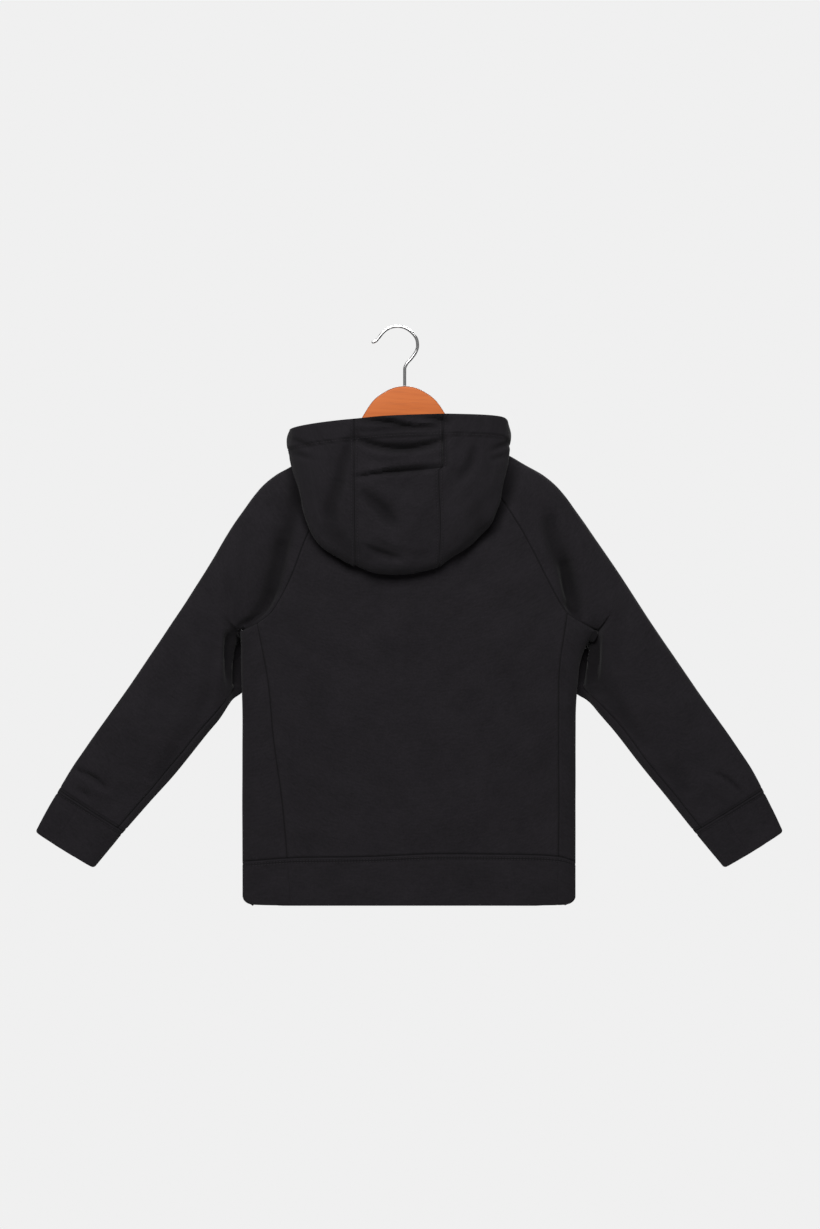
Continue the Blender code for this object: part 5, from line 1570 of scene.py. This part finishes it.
FRONT_PLATE, REAR_PLATE, NECK_IN_PLATE = 1.4, 1.0, 0.5  # two thicknesses, and the neck's ends
REAR_SHARE = (0.55, 0.96)  # the rear plate's width and length beside the front plate's
SHIELD = (  # half the slider's outline as x, z
    (2.6, 0.0),
    (4.0, -1.0),
    (4.5, -3.0),
    (4.3, -8.0),
    (3.4, -11.4),
    (2.8, -12.0),
)
NECK = ((-2.4, -0.2), (2.4, -0.2), (1.6, -4.0), (-1.6, -4.0))  # joins the slider's two plates
hinge = np.array(frame["record"]["behaviour"]["joints"][0]["pos_m"]) / MM
slider_low, slider_high = node_box("zip_slider")


def joined(name, parts, node, body):
    """One piece from several closed forms, each as vertices and faces."""
    vertices, faces, first = [], [], 0
    for points, part_faces in parts:
        vertices.append(points)
        faces += [[corner + first for corner in face] for face in part_faces]
        first += len(points)
    points = np.concatenate(vertices)
    piece = mesh_object(name, points, faces, DARK_METAL.material, smooth_degrees=35.0)
    stand_for(piece, node, body)


def turned(part):
    """A closed form that was made along Y, turned to lie along X."""
    points, faces = part
    return points[:, [1, 0, 2]] * (1, -1, 1), faces


def moved(part, shift):
    points, faces = part
    return points + shift, faces


def rod(radius, half_length, sides=20):
    """A rod along X with softened ends."""
    angles = np.linspace(0, 2 * math.pi, sides, endpoint=False)
    circle = np.stack([np.cos(angles), np.sin(angles)], axis=1) * radius
    return turned(prism(circle, -half_length, half_length, 0.2))


def ring_plate(outline, hole, half_thickness):
    """A flat bar with a hole: outline and hole are (x, z) with as many points, facing each other."""
    way = unit(hole - outline) * EDGE
    shoulder = half_thickness - EDGE
    rings = (
        (outline, -shoulder),
        (outline + way, -half_thickness),
        (hole - way, -half_thickness),
        (hole, -shoulder),
        (hole, shoulder),
        (hole - way, half_thickness),
        (outline + way, half_thickness),
        (outline, shoulder),
    )
    points = np.array([[(x, y, z) for x, z in ring] for ring, y in rings])
    index = np.arange(points.shape[0] * points.shape[1]).reshape(points.shape[:2])
    down, after = np.roll(index, -1, axis=0), np.roll(index, -1, axis=1)
    faces = np.stack([index, down, np.roll(down, -1, axis=1), after], axis=-1).reshape(-1, 4)
    return points.reshape(-1, 3), faces.tolist()


def rounded(half_width, top, bottom, count=48, power=4.0):
    """A rounded rectangle as (x, z) points."""
    angles = np.linspace(0, 2 * math.pi, count, endpoint=False)
    c, s = np.cos(angles), np.sin(angles)
    x = half_width * np.sign(c) * np.abs(c) ** (2 / power)
    z = (top + bottom) / 2 + (top - bottom) / 2 * np.sign(s) * np.abs(s) ** (2 / power)
    return np.stack([x, z], axis=1)


top = np.array([CENTRE_X, 0.0, slider_high[2]])
front = hinge[1] + PIN_FORWARD
rear = slider_high[1]
shield = np.array([(-SHIELD[0][0], 0.0), *SHIELD, *((-x, z) for x, z in SHIELD[:0:-1])])
parts = [
    moved(prism(shield, front, front + FRONT_PLATE, chamfer=0.35), top),
    moved(prism(shield * REAR_SHARE, rear - REAR_PLATE, rear, chamfer=0.25), top),
    moved(prism(NECK, front + NECK_IN_PLATE, rear - NECK_IN_PLATE, chamfer=0.2), top),
]
for side in (LEFT, RIGHT):
    outline = rounded(LUG_HALF_HEIGHT, LUG_HALF_HEIGHT, LUG_LOW, count=20, power=3.0)
    points, faces = turned(prism(outline, -LUG_HALF_THICKNESS, LUG_HALF_THICKNESS, chamfer=0.15))
    parts.append((points * (1, LUG_STRETCH, 1) + hinge + (side * LUG_X, LUG_INWARD, 0.0), faces))
parts.append(moved(rod(PIN_RADIUS, PIN_HALF_LENGTH), hinge))
joined("zip_slider_cast", parts, "zip_slider", "garment")

eye = turned(ring_plate(
    rounded(EYE_RADIUS, EYE_RADIUS, -EYE_RADIUS, count=32, power=2.0),
    rounded(EYE_HOLE, EYE_HOLE, -EYE_HOLE, count=32, power=2.0),
    EYE_HALF_THICKNESS,
))
bar = ring_plate(
    rounded(TAB_HALF_WIDTH, -TAB_TOP, -TAB_LENGTH),
    rounded(SLOT_HALF_WIDTH, -SLOT_TOP, -TAB_LENGTH + SLOT_FROM_END),
    TAB_HALF_THICKNESS,
)
outline = rounded(STEM_HALF_WIDTH, -STEM_TOP, -STEM_END, count=16, power=6.0)
stem = prism(outline, -TAB_HALF_THICKNESS, TAB_HALF_THICKNESS, chamfer=0.15)
joined("zip_pull_tab_bar", [moved(part, hinge) for part in (eye, bar, stem)], "zip_pull_tab", "pull_tab")
print("slider", np.round(slider_high - slider_low, 1), "mm")

# %% [markdown]
# The hanger is cut from a plank, its edges are rounded over and it is varnished orange-brown. It is
# lofted from upright sections whose upper edge is the head in the middle and the arms under the
# cloth. Grain runs along the arms. The wood is darker on its narrow edges, which the material finds
# from how far a point lies from the board's faces.

# %% The hanger's wood
HANGER_X, HANGER_HALF_THICKNESS = -8.0, 5.0
HANGER_END_OUT, HANGER_END_ROUND, HANGER_JOIN = 162.0, 9.0, (52.0, 66.0)
HANGER_CORNER, CORNER_POINTS = 2.6, 6  # radius of its rounded edges, and points round each
HANGER_CLEAR = 1.0  # how far under the cloth the arms lie
END_HEIGHT, END_THICKNESS = 0.35, 0.3  # least shares of the wood's size at the arms' ends
HANGER_HEAD = (  # out, drop
    (0, 69.8),
    (12, 71.6),
    (24, 77),
    (39, 89),
    (51, 107.5),
    (60, 124),
    (76, 142),
)
HANGER_UNDERSIDE = (  # out, drop
    (0, 168),
    (60, 171),
    (110, 182),
    (150, 198),
    (162, 204),
)
WOOD_LIGHT, WOOD_DARK = (0.63, 0.162, 0.026, 1.0), (0.44, 0.088, 0.010, 1.0)
WOOD_PORE, WOOD_EDGE = (0.30, 0.075, 0.02, 1.0), (0.13, 0.03, 0.01, 1.0)


def varnished_wood():
    wood = Finish("varnished_wood", {
        "Coat Weight": 0.05, "Coat Roughness": 0.35, "Specular IOR Level": 0.22,
    })
    x, y, z = wood.parts(wood.object_place())
    sway = wood.noise(x * 5.0, y * 6.0, z * 9.0)
    grain = wood.noise(x * 6.0, y * 160.0, z * 150.0 + sway * 6.0, detail=4.0, roughness=0.6)
    pores = wood.noise(x * 40.0, y * 900.0, z * 900.0)
    light = wood.mix(grain, WOOD_LIGHT, WOOD_DARK)
    fine = wood.mix((pores - 0.55) * 1.6, light, WOOD_PORE)
    off_middle = (y.math("ABSOLUTE") / (HANGER_HALF_THICKNESS * MM)).math("MINIMUM", 1.0)
    on_edge = ((0.93 - off_middle) * 9.0).math("MAXIMUM", 0.0).math("MINIMUM", 0.85)
    wood.feed("Base Color", wood.mix(on_edge, fine, WOOD_EDGE))
    wood.feed("Roughness", grain * 0.15 + 0.42)
    wood.bump(grain * 0.6 + pores * 0.4, 0.15, 0.3 * MM)
    return wood.material


def hanger_top_drop(x):
    """The wood's upper edge: the head in the middle, the arms just under the cloth."""
    out, beside = np.abs(x - CENTRE_X), np.abs(x - HANGER_X)
    slope = np.interp(out, TOP_LINE[:, 0], np.gradient(TOP_LINE[:, 1], TOP_LINE[:, 0]))
    arm = np.interp(out, *TOP_LINE.T) + (WALL + HANGER_CLEAR) * np.hypot(1.0, slope)
    head = read(HANGER_HEAD, beside, 1)
    return head + ease((beside - HANGER_JOIN[0]) / (HANGER_JOIN[1] - HANGER_JOIN[0])) * (arm - head)


def hanger_piece():
    straight_end = HANGER_END_OUT - HANGER_END_ROUND
    rounding = straight_end + HANGER_END_ROUND * np.cos(np.linspace(0.02, math.pi / 2, 12))
    across = np.concatenate([rounding, np.linspace(straight_end, -straight_end, 200)[1:-1], -rounding[::-1]])
    corner = np.radians(np.linspace(0, 90, CORNER_POINTS))
    angles = np.concatenate([corner[::-1], -corner, corner[::-1] - math.pi, math.pi - corner])
    upper = np.repeat([1, -1, -1, 1], CORNER_POINTS)
    rings = []
    for out in across:
        x = CENTRE_X + out
        top, bottom = float(hanger_top_drop(np.array(x))), float(read(HANGER_UNDERSIDE, abs(out), 1))
        scale = math.sqrt(max(1 - (max(abs(out) - straight_end, 0.0) / HANGER_END_ROUND) ** 2, 0.0))
        half = (bottom - top) / 2 * (END_HEIGHT + (1 - END_HEIGHT) * scale)
        thick = HANGER_HALF_THICKNESS * max(scale, END_THICKNESS)
        radius = min(HANGER_CORNER, thick - 0.1)
        y = np.sign(np.cos(angles) + 1e-9) * (thick - radius) + radius * np.cos(angles)
        z = -(top + bottom) / 2 + upper * (half - radius) + radius * np.sin(angles)
        rings.append(np.stack([np.full(len(angles), x), y, z], axis=1))
    rings = np.array(rings)
    index = np.arange(rings.shape[0] * rings.shape[1]).reshape(rings.shape[:2])
    after = np.roll(index, -1, axis=1)
    faces = np.stack([after[:-1], after[1:], index[1:], index[:-1]], axis=-1).reshape(-1, 4).tolist()
    faces += [index[0][::-1].tolist(), index[-1].tolist()]
    piece = mesh_object("hanger_board", rings.reshape(-1, 3), faces, varnished_wood(), smooth_degrees=40.0)
    stand_for(piece, "hanger_wood")
    print("board with", len(piece.data.polygons), "faces")


hanger_piece()

# %% [markdown]
# The hook is one bent wire, chrome plated. A curve with a round bevel gives it, following the bends
# that the photograph shows, and its tip is rounded off by thinner last points.

# %% The hook
HOOK_WIRE_RADIUS = 1.85
HOOK_LINE = (  # x, drop of the wire's middle
    (-8, 69.4),
    (-8, 49.4),
    (-10.2, 43.5),
    (-16.2, 36.5),
    (-21.4, 29),
    (-23.5, 21.5),
    (-22.3, 13.5),
    (-17.4, 6.2),
    (-9.6, 0.5),
    (0, -1.85),
    (9.6, -0.2),
    (17.4, 5),
    (23.2, 12),
    (27.4, 16.3),
    (31.8, 17.6),
)


def chrome():
    plate = Finish("chrome", {"Metallic": 1.0})
    haze = plate.speckle(120.0, 3.0)
    plate.feed("Base Color", plate.mix(haze, grey(0.62), grey(0.8)))
    plate.feed("Roughness", haze * 0.12 + 0.1)
    return plate.material


def hook_piece():
    line = spread(HOOK_LINE, 160)
    curve = bpy.data.curves.new("hanger_hook_wire", "CURVE")
    curve.dimensions = "3D"
    curve.bevel_depth = HOOK_WIRE_RADIUS * MM
    curve.bevel_resolution = 5
    curve.use_fill_caps = True
    spline = curve.splines.new("POLY")
    spline.points.add(len(line) - 1)
    to_tip = lengths(line)[-1] - lengths(line)
    for point, (x, drop), left in zip(spline.points, line, to_tip):
        point.co = (x * MM, 0.0, -drop * MM, 1.0)
        point.radius = max(float(fold(left / HOOK_WIRE_RADIUS)), 0.05)
    curve.materials.append(chrome())
    wire = bpy.data.objects.new("hanger_hook_wire", curve)
    bpy.context.scene.collection.objects.link(wire)
    stand_for(wire, "hanger_hook")
    print("wire", round(lengths(line)[-1]), "mm long")


hook_piece()

# %% [markdown]
# A pale, even studio. The camera sees a light grey surrounding, while the cloth is lit by a darker
# one, so that black stays black. A large lamp high in front of the photographed back shapes its
# folds, and a like one lights the front for other views. The floor lies well below the garment,
# outside the picture.

# %% Studio
SURROUND, AMBIENT = 0.871, 0.19
LAMP_SIZE, LAMP_POWER = (2.2, 1.4), 95.0
KEY_PLACE, KEY_AIM = (0.25, 2.3, 1.35), (0.0, 0.0, -0.4)
FRONT_KEY_PLACE, FRONT_KEY_AIM = (-0.25, -2.3, 1.35), (0.0, 0.0, -0.35)
FLOOR_RADIUS, FLOOR_DROP, FLOOR_SIDES = 900.0, 1500.0, 96


def area_lamp(name, place, aim):
    lamp = bpy.data.lights.new(name, "AREA")
    lamp.shape = "RECTANGLE"
    lamp.size, lamp.size_y = LAMP_SIZE
    lamp.energy = LAMP_POWER
    holder = bpy.data.objects.new(name, lamp)
    bpy.context.scene.collection.objects.link(holder)
    holder.location = place
    way = mathutils.Vector(aim) - mathutils.Vector(place)
    holder.rotation_euler = way.to_track_quat("-Z", "Y").to_euler()


area_lamp("key", KEY_PLACE, KEY_AIM)
area_lamp("front_key", FRONT_KEY_PLACE, FRONT_KEY_AIM)

world = bpy.data.worlds.new("studio")
bpy.context.scene.world = world
world.use_nodes = True
shown = world.node_tree.nodes["Background"]
shown.inputs["Color"].default_value = grey(SURROUND)
lighting = world.node_tree.nodes.new("ShaderNodeBackground")
lighting.inputs["Color"].default_value = grey(AMBIENT)
choice = world.node_tree.nodes.new("ShaderNodeMixShader")
seen = world.node_tree.nodes.new("ShaderNodeLightPath")
for output, target in (
    (seen.outputs["Is Camera Ray"], choice.inputs[0]),
    (lighting.outputs[0], choice.inputs[1]),
    (shown.outputs[0], choice.inputs[2]),
    (choice.outputs[0], world.node_tree.nodes["World Output"].inputs["Surface"]),
):
    world.node_tree.links.new(output, target)
bpy.context.scene.view_settings.view_transform = "Standard"

angles = np.linspace(0, 2 * math.pi, FLOOR_SIDES, endpoint=False)
rim = FLOOR_RADIUS * np.stack([np.cos(angles), np.sin(angles)], axis=1)
disc = np.column_stack([rim, np.full(FLOOR_SIDES, -FLOOR_DROP)])
pale_floor = Finish("pale_floor", {"Base Color": (0.8, 0.8, 0.8, 1.0), "Roughness": 0.9})
floor = mesh_object("floor", disc, [list(range(FLOOR_SIDES))], pale_floor.material)

# %% [markdown]
# The camera looks straight at the back, from far enough that the sleeves hardly turn away.

# %% Camera
PHOTO_CENTRE = (-14.4 * MM, -344.0 * MM)  # x and z of the picture's middle
PHOTO_HEIGHT = 1475.0 * MM
CAMERA_DISTANCE = 3.9
SENSOR = 36.0
camera_data = bpy.data.cameras.new("camera")
camera_data.sensor_width = SENSOR
camera_data.lens = SENSOR * CAMERA_DISTANCE / PHOTO_HEIGHT
camera = bpy.data.objects.new("camera", camera_data)
bpy.context.scene.collection.objects.link(camera)
camera.location = (PHOTO_CENTRE[0], CAMERA_DISTANCE, PHOTO_CENTRE[1])
camera.rotation_euler = (math.pi / 2, 0.0, math.pi)
bpy.context.scene.camera = camera
print("lens", round(camera_data.lens, 1), "mm")
